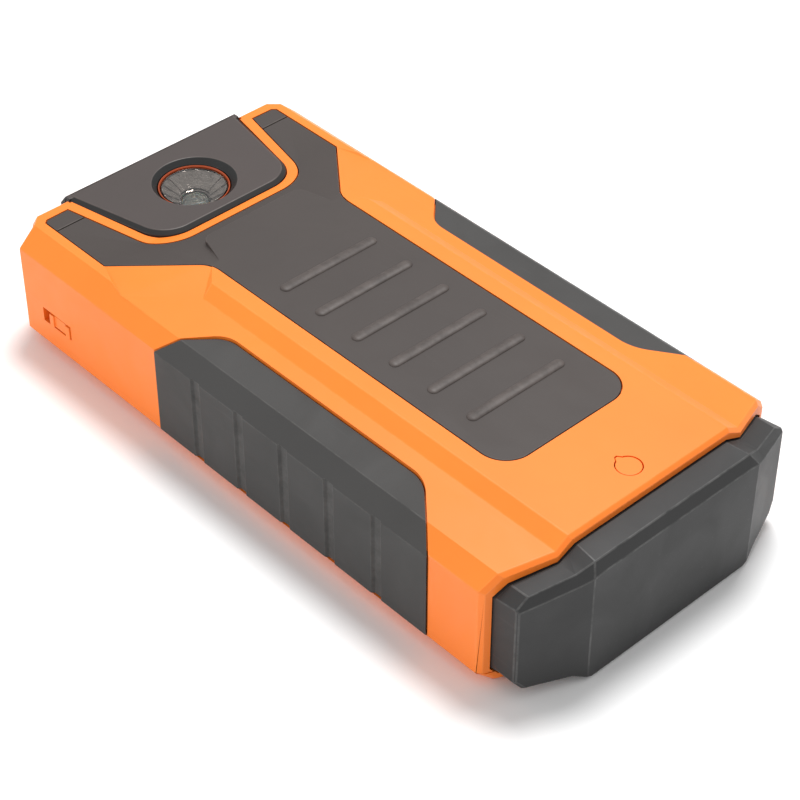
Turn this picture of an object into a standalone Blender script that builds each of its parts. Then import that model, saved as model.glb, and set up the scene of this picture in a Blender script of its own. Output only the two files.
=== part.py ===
"""Jump starter pack: a flat battery pack with a lamp, a slide switch, a power button and a port end.

Frame: +X runs from the lamp end to the port end, +Z is up, and the origin is at the middle of the
bottom. The near side is -Y. Sizes are in millimetres and are turned to metres when a mesh is made.
"""
import math

import bmesh
import bpy
from mathutils import Vector

MM = 0.001
GAP = 0.3                      # clearance between two pieces that meet

# ---- driving dimensions of the casing (mm) ----
HALF_WIDTH = 44.5              # side wall from the middle
LAMP_END = -90.7               # lamp end face
PORT_END = 82.75               # foremost part of the casing's port end
CAP_FRONT = 90.9               # front face of the end cap
WALL = 2.4
FLOOR = 0.6                    # underside of the bottom cover; the feet stand below it
SPLIT = 4.0                    # height at which bottom cover and upper housing meet
SIDE_TOP = 28.2                # side wall ends, side chamfer begins
FRAME_TOP = 32.9               # flat top at the lamp end
PLATEAU = 36.15                # flat top of the middle
SWEEP = 0.385                  # how far the port end falls back for each mm of width
SWEEP_START = 28.5             # half width of the straight part of the port end
END_BEVEL = 0.95

# half profile of the middle of the casing: (half width, height), from the bottom to the top
FOOT = (40.5, FLOOR)
SILL = (HALF_WIDTH, SPLIT)
SIDE = (HALF_WIDTH, SIDE_TOP)
SHOULDER = (40.4, 32.1)
STRIP = (28.5, 33.9)
CROWN = (24.8, PLATEAU)

# half profile of the opening at the port end
OPEN_SIDE = (42.1, 26.7)
OPEN_SHOULDER = (38.9, 29.5)
OPEN_STRIP = (28.6, 31.6)
OPEN_CROWN = (23.7, 33.75)
OPEN_FLOOR = 3.0

# ---- top panel ----
PANEL_THICK = 1.6
RAMP_START = (-59.8, 36.8)     # where the arms end and the panel climbs: (x, half width)
RAMP_END = (-39.4, 20.2)
PANEL_TIP = -84.1
PANEL_END = 58.7
PANEL_SEAM = -78.8             # joint between an arm and its corner plug
PAD_FRONT = -49.2              # raised middle of the panel begins
RIB_FIRST = -20.6
RIB_PITCH = 12.5
RIB_COUNT = 6
RIB_HALF_LENGTH = 14.8
RIB_WIDTH = 3.0
RIB_HEIGHT = 0.6

# ---- lamp ----
LAMP_X = -71.6
LAMP_PANEL_LOW = 33.5          # its top at the lamp end
LAMP_PANEL_HIGH = 34.5         # its top at the inner end
LAMP_PANEL_INNER = -56.6
RECESS_RADIUS = 10.8
LENS_RADIUS = 9.2
LENS_TOP = 32.2
LED_TOP = 28.5

# ---- side switch ----
SLOT_X = (-77.2, -66.0)
SLOT_Z = (10.4, 14.5)
KNOB_X = (-74.3, -66.25)

# ---- power button ----
BUTTON_X = 75.8
BUTTON_RADIUS = 3.2
BUTTON_NUB = 0.95

# ---- side grips ----
GRIP_X = (-31.3, 60.6)
GRIP_INNER = 32.6              # half width at which the grip ends on the shoulder
GRIP_BOTTOM = 4.3
GROOVE_FIRST = -16.4
GROOVE_PITCH = 15.3
GROOVE_COUNT = 5
GROOVE_WIDTH = 3.7
GROOVE_DEPTH = 0.7

# ---- end cap ----
CAP_SWEEP = 0.39
CAP_SWEEP_START = 25.8
CAP_WALL = 2.0
CAP_PLUG = 1.3                 # how far the cap's rim reaches into the casing

# ---- fastenings ----
SCREW_PLACES = ((-54.0, 37.0), (66.0, 36.6))
CORNER_SCREW = (-81.0, 32.9)
FOOT_PLACES = ((-74.0, 30.0), (64.0, 26.0))
FOOT_RADIUS = 5.0

# ---- battery ----
CELL_X = (-46.0, 42.0)
CELL_HALF_WIDTH = 30.0
CELL_THICK = 6.8
CELL_PITCH = 8.4
CELL_LOW = 4.5
CELL_COUNT = 3
TAB_Y = 15.0

# ---- ports ----
PORT_FACE = PORT_END - 2.0     # front of the port panel in its straight part
PORT_THICK = 1.8
BOARD_TOP = 10.2
BOARD_THICK = 1.6
BUTTON_BOARD_TOP = 28.9
JUMP_Y = -16.0
JUMP_Z = 13.9
USB_Y = (5.5, 20.5)
USB_Z = 13.9
USB_C = (13.0, 25.8)           # (y, z)
LIGHT_BAR = (-16.0, 25.6)

COLOURS = {
    "orange": ((1.0, 0.30, 0.05), 0.42, 0.0),
    "dark_plastic": ((0.10, 0.095, 0.09), 0.55, 0.0),
    "grip_rubber": ((0.07, 0.07, 0.068), 0.75, 0.0),
    "cap_plastic": ((0.075, 0.075, 0.075), 0.6, 0.0),
    "clear": ((0.9, 0.92, 0.95), 0.05, 0.0),
    "mirror": ((0.85, 0.85, 0.86), 0.12, 1.0),
    "led": ((0.9, 0.85, 0.5), 0.3, 0.0),
    "steel": ((0.6, 0.6, 0.62), 0.3, 1.0),
    "copper": ((0.75, 0.42, 0.25), 0.35, 1.0),
    "brass": ((0.8, 0.6, 0.25), 0.3, 1.0),
    "aluminium": ((0.75, 0.76, 0.78), 0.35, 1.0),
    "pouch": ((0.65, 0.66, 0.68), 0.3, 1.0),
    "foam": ((0.15, 0.16, 0.2), 0.9, 0.0),
    "board": ((0.03, 0.18, 0.08), 0.45, 0.0),
    "black": ((0.02, 0.02, 0.02), 0.5, 0.0),
    "red": ((0.6, 0.03, 0.02), 0.5, 0.0),
    "blue": ((0.05, 0.12, 0.5), 0.45, 0.0),
}


# ------------------------------------------------------------------ helpers
def clear_scene():
    for obj in list(bpy.data.objects):
        bpy.data.objects.remove(obj, do_unlink=True)


def collection(name):
    group = bpy.data.collections.new(name)
    bpy.context.scene.collection.children.link(group)
    return group


def material(name):
    made = bpy.data.materials.get(name)
    if made is None:
        colour, roughness, metallic = COLOURS[name]
        made = bpy.data.materials.new(name)
        made.use_nodes = True
        shader = made.node_tree.nodes["Principled BSDF"]
        shader.inputs["Base Color"].default_value = (*colour, 1.0)
        shader.inputs["Roughness"].default_value = roughness
        shader.inputs["Metallic"].default_value = metallic
    return made


def object_from(bm, name, finish=None):
    """Makes an object from bm, in mm. Without a finish it is a cutter."""
    bmesh.ops.recalc_face_normals(bm, faces=bm.faces)
    bmesh.ops.scale(bm, vec=(MM, MM, MM), verts=bm.verts)
    mesh = bpy.data.meshes.new(name)
    bm.to_mesh(mesh)
    bm.free()
    obj = bpy.data.objects.new(name, mesh)
    if finish is None:
        CUTTERS.objects.link(obj)
        obj.hide_render = True
        obj.display_type = "WIRE"
    else:
        PARTS.objects.link(obj)
        mesh.materials.append(material(finish))
    return obj


def box(name, low, high, finish=None, bevel=0.0):
    bm = bmesh.new()
    bmesh.ops.create_cube(bm, size=1.0)
    low = Vector(low)
    high = Vector(high)
    size = high - low
    middle = (high + low) / 2
    bmesh.ops.scale(bm, vec=size, verts=bm.verts)
    bmesh.ops.translate(bm, vec=middle, verts=bm.verts)
    obj = object_from(bm, name, finish)
    if bevel:
        add_bevel(obj, bevel)
    return obj


def bar_box(name, reach, centre, half, finish=None, bevel=0.0):
    """A box between two places on X, centred at (y, z) with half sizes (y, z)."""
    low = (reach[0], centre[0] - half[0], centre[1] - half[1])
    high = (reach[1], centre[0] + half[0], centre[1] + half[1])
    return box(name, low, high, finish, bevel)


def rod(name, radius, start, end, finish=None, sides=24, end_radius=None):
    """A cylinder or cone from start to end."""
    start = Vector(start)
    end = Vector(end)
    along = end - start
    bm = bmesh.new()
    bmesh.ops.create_cone(bm, cap_ends=True, segments=sides, radius1=radius,
                          radius2=radius if end_radius is None else end_radius, depth=along.length)
    turn = Vector((0, 0, 1)).rotation_difference(along).to_matrix()
    bmesh.ops.rotate(bm, cent=(0, 0, 0), matrix=turn, verts=bm.verts)
    bmesh.ops.translate(bm, vec=(start + end) / 2, verts=bm.verts)
    return object_from(bm, name, finish)


def plate(name, outline, low, high, finish=None):
    """A flat outline, in X and Y, from height low to high: a filled curve made a mesh."""
    curve = bpy.data.curves.new(name, "CURVE")
    curve.dimensions = "2D"
    curve.fill_mode = "BOTH"
    curve.extrude = (high - low) / 2 * MM
    spline = curve.splines.new("POLY")
    spline.points.add(len(outline) - 1)
    for point, (x, y) in zip(spline.points, outline):
        point.co = (x * MM, y * MM, 0.0, 1.0)
    spline.use_cyclic_u = True
    flat = bpy.data.objects.new(name, curve)
    bpy.context.scene.collection.objects.link(flat)
    flat.location.z = (high + low) / 2 * MM
    bpy.context.view_layer.update()
    mesh = bpy.data.meshes.new_from_object(flat.evaluated_get(bpy.context.evaluated_depsgraph_get()))
    bm = bmesh.new()
    bm.from_mesh(mesh)
    bmesh.ops.transform(bm, matrix=flat.matrix_world, verts=bm.verts)
    bmesh.ops.remove_doubles(bm, verts=bm.verts, dist=0.00001)
    bmesh.ops.scale(bm, vec=(1 / MM, 1 / MM, 1 / MM), verts=bm.verts)
    bpy.data.objects.remove(flat, do_unlink=True)
    bpy.data.meshes.remove(mesh)
    return object_from(bm, name, finish)


def loft(name, rings, finish=None, start_faces=None, end_faces=None):
    """Joins rings of points, each with as many points, into one closed body."""
    bm = bmesh.new()
    rows = [[bm.verts.new(point) for point in ring] for ring in rings]
    count = len(rows[0])
    for row, following in zip(rows, rows[1:]):
        for i in range(count):
            j = (i + 1) % count
            bm.faces.new((row[i], row[j], following[j], following[i]))
    for row, faces in ((rows[0], start_faces), (rows[-1], end_faces)):
        for face in faces or [range(count)]:
            bm.faces.new([row[i] for i in face])
    bmesh.ops.triangulate(bm, faces=[face for face in bm.faces if len(face.verts) == 4],
                          quad_method="SHORT_EDGE")
    return object_from(bm, name, finish)


def turned(name, profile, finish=None, centre=(0, 0), steps=40, closed=False):
    """A turned shape about a vertical axis at centre. The profile runs down its outer side."""
    mesh = bpy.data.meshes.new(name)
    points = [(radius * MM, 0.0, height * MM) for radius, height in profile]
    edges = [(i, i + 1) for i in range(len(points) - 1)]
    if closed:
        edges.append((len(points) - 1, 0))
    mesh.from_pydata(points, edges, [])
    obj = bpy.data.objects.new(name, mesh)
    (PARTS if finish else CUTTERS).objects.link(obj)
    if finish:
        mesh.materials.append(material(finish))
    else:
        obj.hide_render = True
        obj.display_type = "WIRE"
    obj.location = (centre[0] * MM, centre[1] * MM, 0.0)
    screw = obj.modifiers.new("Turn", "SCREW")
    screw.axis = "Z"
    screw.angle = math.tau
    screw.steps = steps
    screw.render_steps = steps
    screw.use_merge_vertices = True
    screw.merge_threshold = 0.00001
    return obj


def tube(name, route, radius, finish):
    """A wire along route, with round bends."""
    curve = bpy.data.curves.new(name, "CURVE")
    curve.dimensions = "3D"
    curve.bevel_depth = radius * MM
    curve.bevel_resolution = 2
    curve.use_fill_caps = True
    points = smooth_route(route)
    spline = curve.splines.new("POLY")
    spline.points.add(len(points) - 1)
    for point, place in zip(spline.points, points):
        point.co = (*(place * MM), 1.0)
    obj = bpy.data.objects.new(name, curve)
    PARTS.objects.link(obj)
    curve.materials.append(material(finish))
    return obj


def smooth_route(route, per_span=5):
    """Points on a smooth curve through the route's own points."""
    places = [Vector(place) for place in route]
    padded = [places[0] * 2 - places[1]] + places + [places[-1] * 2 - places[-2]]
    points = []
    for a, b, c, d in zip(padded, padded[1:], padded[2:], padded[3:]):
        for step in range(per_span):
            t = step / per_span
            points.append(0.5 * (2 * b + (c - a) * t + (2 * a - 5 * b + 4 * c - d) * t ** 2
                                 + (3 * b - a - 3 * c + d) * t ** 3))
    points.append(places[-1])
    return points


def add_bevel(obj, width, segments=1, angle=30):
    bevel = obj.modifiers.new("Bevel", "BEVEL")
    bevel.width = width * MM
    bevel.segments = segments
    bevel.limit_method = "ANGLE"
    bevel.angle_limit = math.radians(angle)
    return bevel


def boolean(obj, other, operation):
    modifier = obj.modifiers.new(operation.title(), "BOOLEAN")
    modifier.operation = operation
    modifier.solver = "EXACT"
    modifier.object = other


def cut(obj, *cutters):
    for cutter in cutters:
        boolean(obj, cutter, "DIFFERENCE")


def join(obj, *others):
    for other in others:
        boolean(obj, other, "UNION")


def keep_inside(obj, other):
    boolean(obj, other, "INTERSECT")


def rounded(corners, segments=6):
    """An outline from corners (x, y, radius), with each corner replaced by an arc."""
    points = []
    count = len(corners)
    for i, (x, y, radius) in enumerate(corners):
        here = Vector((x, y))
        if radius == 0:
            points.append((x, y))
            continue
        before = (Vector(corners[i - 1][:2]) - here).normalized()
        after = (Vector(corners[(i + 1) % count][:2]) - here).normalized()
        half = before.angle(after) / 2
        centre = here + (before + after).normalized() * (radius / math.sin(half))
        start = here + before * (radius / math.tan(half)) - centre
        finish = here + after * (radius / math.tan(half)) - centre
        total = start.angle_signed(finish)
        first = math.atan2(start.y, start.x)
        for step in range(segments + 1):
            angle = first - total * step / segments
            points.append((centre.x + radius * math.cos(angle), centre.y + radius * math.sin(angle)))
    return points


def grown(outline, distance):
    """The outline moved outwards by distance; its points run anticlockwise."""
    moved = []
    count = len(outline)
    for i, point in enumerate(outline):
        here = Vector(point)
        before = (here - Vector(outline[i - 1])).normalized()
        after = (Vector(outline[(i + 1) % count]) - here).normalized()
        out_before = Vector((before.y, -before.x))
        out_after = Vector((after.y, -after.x))
        out = (out_before + out_after).normalized()
        moved.append(tuple(here + out * (distance / max(0.3, out.dot(out_before)))))
    return moved


def ring_both_sides(half):
    """A whole ring from the near half, whose points have y as a positive half width."""
    near = [(x, -y, z) for x, y, z in half]
    far = [(x, y, z) for x, y, z in reversed(half)]
    return near + far


def port_end(y):
    """X of the casing's port end at a half width of y."""
    return PORT_END - SWEEP * max(0.0, y - SWEEP_START)


def cap_front(y):
    return CAP_FRONT - CAP_SWEEP * max(0.0, y - CAP_SWEEP_START)


def swept(outline, offset):
    """Profile points (half width, height) placed on the port end, offset along X."""
    return [(port_end(y) + offset, y, z) for y, z in outline]


def swept_patches(straight, side, count):
    """Flat faces that close a swept end of count points: its straight middle and its two sides."""
    middle = straight + [count - 1 - i for i in reversed(straight)]
    return [middle, side, [count - 1 - i for i in side]]


def end_patches(count):
    """The same for an end whose sweep starts at its first point and its last but one."""
    return swept_patches([0, count - 2, count - 1], list(range(count - 1)), 2 * count)


# ------------------------------------------------------------------ casing
def casing_solid(name):
    """The whole outside of the casing, without any hole."""
    low_in = (SWEEP_START, FLOOR)
    middle = [low_in, FOOT, SILL, SIDE, SHOULDER, STRIP, CROWN]
    end_face = [(LAMP_END, 26.0, SPLIT), (LAMP_END, 35.3, SPLIT), (LAMP_END, 36.3, SPLIT + 1),
                (LAMP_END, 36.3, SIDE_TOP - 1), (LAMP_END, 36.0, SIDE_TOP), (LAMP_END, 30.0, SIDE_TOP),
                (LAMP_END, 25.0, SIDE_TOP)]
    corner_x = -84.6
    end_top = -87.0
    lamp = [(-87.7, 26.0, FLOOR), (-84.6, 38.0, FLOOR), (corner_x, *SILL), (corner_x, *SIDE),
            (corner_x, 39.4, FRAME_TOP), (end_top, 36.8, FRAME_TOP), (end_top, 30.0, FRAME_TOP)]
    facet_start = [(-59.8, *low_in), (-59.8, *FOOT), (-59.8, *SILL), (-59.8, *SIDE),
                   (-54.0, 39.4, FRAME_TOP), (-54.4, 39.2, FRAME_TOP), (*RAMP_START, FRAME_TOP)]
    facet_middle = [(-49.1, *low_in), (-49.1, *FOOT), (-49.1, *SILL), (-49.1, *SIDE),
                    (-49.1, *SHOULDER), (-49.4, 40.2, 32.15), (*RAMP_END, PLATEAU)]
    facet_end = [(-32.8, *low_in), (-32.8, *FOOT), (-32.8, *SILL), (-32.8, *SIDE),
                 (-32.8, *SHOULDER), (-32.8, *STRIP), (-33.9, *CROWN)]
    bevel_back = swept(middle, -END_BEVEL)
    inner = [(SWEEP_START, FLOOR + 0.9), (FOOT[0] - 0.4, FLOOR + 0.9), (HALF_WIDTH - 0.9, SPLIT + 0.4),
             (HALF_WIDTH - 0.9, SIDE_TOP - 0.4), (SHOULDER[0] - 0.4, SHOULDER[1] - 0.9),
             (STRIP[0], STRIP[1] - 0.9), (CROWN[0] - 0.3, CROWN[1] - 0.9)]
    bevel_front = swept(inner, 0.0)
    rings = [ring_both_sides(half) for half in
             (end_face, lamp, facet_start, facet_middle, facet_end, bevel_back, bevel_front)]
    return loft(name, rings, end_faces=end_patches(7))


def cavity_solid(name):
    """The hollow inside: a shell wall less than the outside, open at the port end."""
    lid = FRAME_TOP - WALL - 1.0
    def half(x, top, side, crown, start=0.0):
        return [(x, 25.0, OPEN_FLOOR), (x, side - 2.0, OPEN_FLOOR), (x, side, OPEN_FLOOR + 2.0),
                (x, side, OPEN_SIDE[1]), (x, side - 3.2, top - start), (x, 28.6, min(31.6, top)),
                (x, 23.7, crown)]
    lamp = half(LAMP_END + WALL, 28.0, 37.0, 28.0)
    widened = half(-84.0, lid - 1.0, 42.1, lid)
    ramp_foot = half(-59.0, lid - 1.0, 42.1, lid)
    ramp_top = half(-36.0, 29.5, 42.1, PLATEAU - 3.7)
    panel_tail = half(PANEL_END, 29.5, 42.1, PLATEAU - 3.7)
    neck = [(x - 16.0, y, z) for x, y, z in swept([(25.0, OPEN_FLOOR), (40.1, OPEN_FLOOR), (42.1, 5.0),
                                                   OPEN_SIDE, OPEN_SHOULDER, OPEN_STRIP, OPEN_CROWN], 0)]
    mouth = [(x + 6.0, y, z) for x, y, z in swept([(25.0, OPEN_FLOOR), (40.1, OPEN_FLOOR), (42.1, 5.0),
                                                  OPEN_SIDE, OPEN_SHOULDER, OPEN_STRIP, OPEN_CROWN], 0)]
    halves = (lamp, widened, ramp_foot, ramp_top, panel_tail, neck, mouth)
    rings = [ring_both_sides(points) for points in halves]
    return loft(name, rings)


def panel_outline():
    """The Y-shaped outline of the top panel with its corner plugs, anticlockwise from the far tip."""
    half = [(PANEL_TIP, 29.7, 0), (PANEL_TIP + 0.1, 35.9, 0), (PANEL_TIP + 0.9, 36.8, 0),
            (*RAMP_START, 0), (*RAMP_END, 9.0), (PANEL_END, 20.2, 7.0)]
    far = [(x, y, r) for x, y, r in half]
    near = [(x, -y, r) for x, y, r in reversed(half)]
    inner = [(-53.6, -23.0, 11.5), (-53.6, 23.0, 11.5)]
    outline = rounded(far + near + inner)
    return outline if signed_area(outline) > 0 else outline[::-1]


def signed_area(outline):
    return sum(a[0] * b[1] - b[0] * a[1] for a, b in zip(outline, outline[1:] + outline[:1])) / 2


def lamp_outline(inset):
    """Outline of the lamp panel, inset from the orange rim's inner edge."""
    corners = [(-89.4, -27.7, 0), (-56.35, -20.9, 9.5), (-56.35, 20.9, 9.5), (-89.4, 27.7, 0)]
    outline = rounded(corners)
    outline = outline if signed_area(outline) > 0 else outline[::-1]
    return grown(outline, -inset)


def lamp_skirt_outline(grow):
    """Side view, in X and Z, of the lamp panel's lip over the lamp end."""
    return grown([(-90.9, 26.6), (-89.6, 26.6), (-89.6, 28.6), (-86.4, 32.6), (-86.4, 33.4), (-88.5, 33.4),
                  (-90.9, 30.4)], grow)


def across(name, outline, half_width, finish=None):
    """An outline in X and Z, made solid from -half_width to half_width in Y."""
    ring_near = [(x, -half_width, z) for x, z in outline]
    ring_far = [(x, half_width, z) for x, z in outline]
    return loft(name, [ring_near, ring_far], finish)


def along(name, outline, x_low, x_high, finish=None):
    """An outline in Y and Z, made solid from x_low to x_high."""
    return loft(name, [[(x, y, z) for y, z in outline] for x in (x_low, x_high)], finish)


def button_outline(grow):
    """The power button's round outline with its pointer towards the lamp end."""
    radius = BUTTON_RADIUS + grow
    tip = 0.35
    points = []
    for step in range(33):
        angle = math.pi + tip + (math.tau - 2 * tip) * step / 32
        points.append((BUTTON_X + radius * math.cos(angle), radius * math.sin(angle)))
    points.append((BUTTON_X - radius - BUTTON_NUB * 0.85, 0.35))
    points.append((BUTTON_X - radius - BUTTON_NUB * 0.85, -0.35))
    return points


def grip_outline(side, grow):
    """Plan of a grip: straight inner edge, slanted ends that run down the chamfer."""
    corners = [(GRIP_X[0], 50.0, 0), (GRIP_X[0], 44.6, 0), (-26.6, 40.5, 0), (-18.8, GRIP_INNER, 8.0),
               (46.8, GRIP_INNER, 10.0), (55.6, 40.3, 0), (GRIP_X[1], 44.7, 0), (GRIP_X[1], 50.0, 0)]
    outline = rounded(corners, segments=4)
    outline = outline if signed_area(outline) > 0 else outline[::-1]
    outline = grown(outline, grow)
    return [(x, side * y) for x, y in outline]


def grip_section(side, grow):
    """Cross-section of a grip in Y and Z; grow makes its bed in the casing."""
    inner = [(43.65 - grow, GRIP_BOTTOM - 8 * grow), (43.65 - grow, 27.7), (39.9, 31.0 - grow),
             (GRIP_INNER - 2, 31.4 - grow)]
    if grow:
        outer = [(GRIP_INNER - 2, 36.0), (50.0, 36.0), (50.0, GRIP_BOTTOM - 8 * grow)]
    else:
        outer = [(GRIP_INNER - 2, 32.75), (40.4, 32.0), (44.85, 27.8), (44.85, GRIP_BOTTOM)]
    return [(side * y, z) for y, z in inner + outer]


def build_casing():
    outer = casing_solid("casing_outer")
    hollow = cavity_solid("casing_hollow")
    upper_half = box("upper_half", (-100, -60, SPLIT + GAP / 2), (100, 60, 50))
    lower_half = box("lower_half", (-100, -60, -5), (100, 60, SPLIT - GAP / 2))

    upper = casing_solid("upper_housing")
    CUTTERS.objects.unlink(upper)
    PARTS.objects.link(upper)
    upper.hide_render = False
    upper.display_type = "TEXTURED"
    upper.data.materials.append(material("orange"))
    keep_inside(upper, upper_half)
    cut(upper, hollow)
    # bosses for the housing screws, hanging from the shoulders
    for x, y in SCREW_PLACES:
        for side in (-1, 1):
            start = (x, side * y, OPEN_FLOOR + GAP)
            join(upper, rod(f"boss_{x:.0f}_{side}", 3.1, start, (x, side * y, 31.0), sides=20))
    for side in (-1, 1):
        x, y = CORNER_SCREW[0], side * CORNER_SCREW[1]
        join(upper, rod(f"corner_boss_{side}", 4.2, (x, y, 27.5), (x, y, 31.5), sides=20))
    # posts that carry the button board
    for y in (-20.0, 16.0):
        start = (69.5, y, BUTTON_BOARD_TOP + GAP)
        join(upper, rod(f"button_post_{y:.0f}", 2.0, start, (69.5, y, 35.0), sides=16))
    # beds for the panel, the corner plugs and the lamp panel
    bed = plate("panel_bed", grown(panel_outline(), GAP), 25.0, 45.0)
    keep_inside(bed, ramp_slab("panel_bed_slab", PANEL_THICK + GAP, 4.0))
    lamp_bed = plate("lamp_bed", lamp_outline(0.0), 31.3 - GAP, 45.0)
    skirt_bed = across("skirt_bed", lamp_skirt_outline(GAP), 27.3 + GAP)
    lamp_hole = rod("lamp_hole", 11.0, (LAMP_X, 0, 20), (LAMP_X, 0, 40), sides=40)
    cut(upper, bed, lamp_bed, skirt_bed, lamp_hole)
    # screw wells at the corners
    for side in (-1, 1):
        x, y = CORNER_SCREW[0], side * CORNER_SCREW[1]
        cut(upper, rod(f"corner_hole_{side}", 1.5, (x, y, 20), (x, y, 40), sides=16))
        cut(upper, rod(f"corner_seat_{side}", 2.8, (x, y, 29.4), (x, y, 40), sides=20))
    # slot of the slide knob, button hole
    slot = box("knob_slot", (SLOT_X[0], -50, SLOT_Z[0]), (SLOT_X[1], -40, SLOT_Z[1]))
    button_hole = plate("button_hole", button_outline(0.0), 32.0, 40.0)
    cut(upper, slot, button_hole)
    for side, word in ((-1, "near"), (1, "far")):
        grip_bed = along(f"grip_bed_{word}", grip_section(side, GAP), -40, 70)
        keep_inside(grip_bed, plate(f"grip_bed_plan_{word}", grip_outline(side, GAP), -2, 45))
        cut(upper, grip_bed)
    # pilot holes in the bosses
    for x, y in SCREW_PLACES:
        for side in (-1, 1):
            cut(upper, rod(f"pilot_{x:.0f}_{side}", 1.5, (x, side * y, 0), (x, side * y, 13.0), sides=16))

    bottom = casing_solid("bottom_cover")
    CUTTERS.objects.unlink(bottom)
    PARTS.objects.link(bottom)
    bottom.hide_render = False
    bottom.display_type = "TEXTURED"
    bottom.data.materials.append(material("orange"))
    keep_inside(bottom, lower_half)
    cut(bottom, hollow)
    for side in (-1, 1):
        x, y = CORNER_SCREW[0], side * CORNER_SCREW[1]
        join(bottom, rod(f"corner_post_{side}", 3.0, (x, y, 1.5), (x, y, 27.2), sides=20))
        cut(bottom, rod(f"corner_pilot_{side}", 1.5, (x, y, 16.0), (x, y, 40), sides=16))
        for x, y in SCREW_PLACES:
            below = (x, side * y, -2)
            cut(bottom, rod(f"head_well_{x:.0f}_{side}", 3.0, below, (x, side * y, 2.3), sides=20))
            cut(bottom, rod(f"screw_hole_{x:.0f}_{side}", 1.5, below, (x, side * y, 5), sides=16))
        for x, y in FOOT_PLACES:
            cut(bottom, rod(f"foot_well_{x:.0f}_{side}", FOOT_RADIUS + GAP, (x, side * y, -2),
                            (x, side * y, 1.5), sides=28))
    return outer, hollow


def ramp_slab(name, thick, above):
    """A slab under the top surface, which climbs from the arms to the plateau."""
    top = [(-95, FRAME_TOP + above), (RAMP_START[0], FRAME_TOP + above), (RAMP_END[0], PLATEAU + above),
           (75, PLATEAU + above)]
    low = [(75, PLATEAU - thick), (RAMP_END[0], PLATEAU - thick), (RAMP_START[0], FRAME_TOP - thick),
           (-95, FRAME_TOP - thick)]
    return across(name, top + low, 45)


# ------------------------------------------------------------------ top panel
def build_top_panel():
    panel = plate("top_panel", panel_outline(), 25.0, 45.0, "dark_plastic")
    keep_inside(panel, ramp_slab("panel_slab", PANEL_THICK, 0.0))
    pad_corners = [(PAD_FRONT, -15.2, 3.0), (-31.0, -20.0, 0), (-31.0, 20.0, 0), (PAD_FRONT, 15.2, 3.0)]
    pad = plate("panel_pad", rounded(pad_corners), 33.0, PLATEAU)
    keep_inside(pad, ramp_slab("pad_slab", PANEL_THICK - 0.3, 4.0))
    join(panel, pad)
    for number in range(RIB_COUNT):
        x = RIB_FIRST + RIB_PITCH * number
        join(panel, rib(f"panel_rib_{number + 1}", x))
    beyond = box("beyond_seam", (-100, -50, 20), (PANEL_SEAM + GAP / 2, 50, 50))
    cut(panel, beyond)
    for side, word in ((-1, "near"), (1, "far")):
        plug = plate(f"corner_plug_{word}", panel_outline(), 25.0, 45.0, "dark_plastic")
        keep_inside(plug, ramp_slab(f"plug_slab_{word}", PANEL_THICK, 0.0))
        room_high = (PANEL_SEAM - GAP / 2, side * 30 + 20, 50)
        keep_inside(plug, box(f"plug_room_{word}", (-100, side * 30 - 20, 20), room_high))


def rib(name, x):
    """One raised rib across the panel, with round ends and a sloping side."""
    rings = []
    for height, inset in ((PLATEAU - 0.6, 0.0), (PLATEAU, 0.0), (PLATEAU + RIB_HEIGHT, 0.75)):
        radius = RIB_WIDTH / 2 - inset
        reach = RIB_HALF_LENGTH - RIB_WIDTH / 2
        ring = []
        for step in range(12):
            angle = math.tau * (step + 0.5) / 12
            y = radius * math.sin(angle)
            ring.append((x + radius * math.cos(angle), y + math.copysign(reach, y), height))
        rings.append(ring)
    return loft(name, rings)


# ------------------------------------------------------------------ lamp
def build_lamp():
    foot = lamp_outline(GAP)
    top = lamp_outline(GAP + 1.1)
    slope = (LAMP_PANEL_HIGH - LAMP_PANEL_LOW) / (LAMP_PANEL_INNER + 88.5)
    def top_height(x):
        return LAMP_PANEL_LOW + slope * (x + 88.5)
    clipped = [(max(x, -88.4), y) for x, y in foot]
    rings = [[(x, y, 31.3) for x, y in clipped],
             [(x, y, top_height(x) - 1.0) for x, y in clipped],
             [(max(x, -88.4), y, top_height(x)) for x, y in top]]
    panel = loft("lamp_panel", rings, "dark_plastic")
    skirt = across("lamp_skirt", lamp_skirt_outline(0.0), 27.3)
    keep_inside(skirt, box("skirt_room", (-95, -27.2, 20), (-86.8, 27.2, 33.35)))
    well = LENS_RADIUS + 0.1
    funnel = [(0.0, 36.0), (RECESS_RADIUS + 1.6, 36.0), (RECESS_RADIUS, 34.1), (well, LENS_TOP + 0.1),
              (well, 25.0), (0.0, 25.0)]
    recess = turned("lamp_recess", funnel, centre=(LAMP_X, 0), steps=48)
    join(panel, skirt)
    cut(panel, recess)
    turned("lamp_bezel", [(8.55, LENS_TOP + 0.25), (9.0, LENS_TOP + 0.25), (9.0, 31.2), (8.55, 31.2)],
           "orange", (LAMP_X, 0), 48, closed=True)
    lens = [(0.0, LENS_TOP + 0.1), (5.0, LENS_TOP), (8.2, LENS_TOP - 0.2), (8.2, 31.35), (0.0, 31.35)]
    turned("lamp_lens", lens, "clear", (LAMP_X, 0), 48)
    bowl = [(8.35, 30.85), (9.0, 30.85), (9.0, 29.9), (5.6, 27.0), (3.7, 27.0), (3.7, 28.3), (5.2, 28.9),
            (7.2, 29.9)]
    turned("reflector", bowl, "mirror", (LAMP_X, 0), 24, closed=True)
    dome = [(0.0, LED_TOP), (2.2, LED_TOP - 0.25), (3.3, 27.6), (3.3, 26.9), (0.0, 26.9)]
    turned("led_emitter", dome, "led", (LAMP_X, 0), 24)
    turned("led_board", [(0.0, 26.6), (9.5, 26.6), (9.5, 25.1), (0.0, 25.1)], "aluminium", (LAMP_X, 0), 32)


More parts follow.
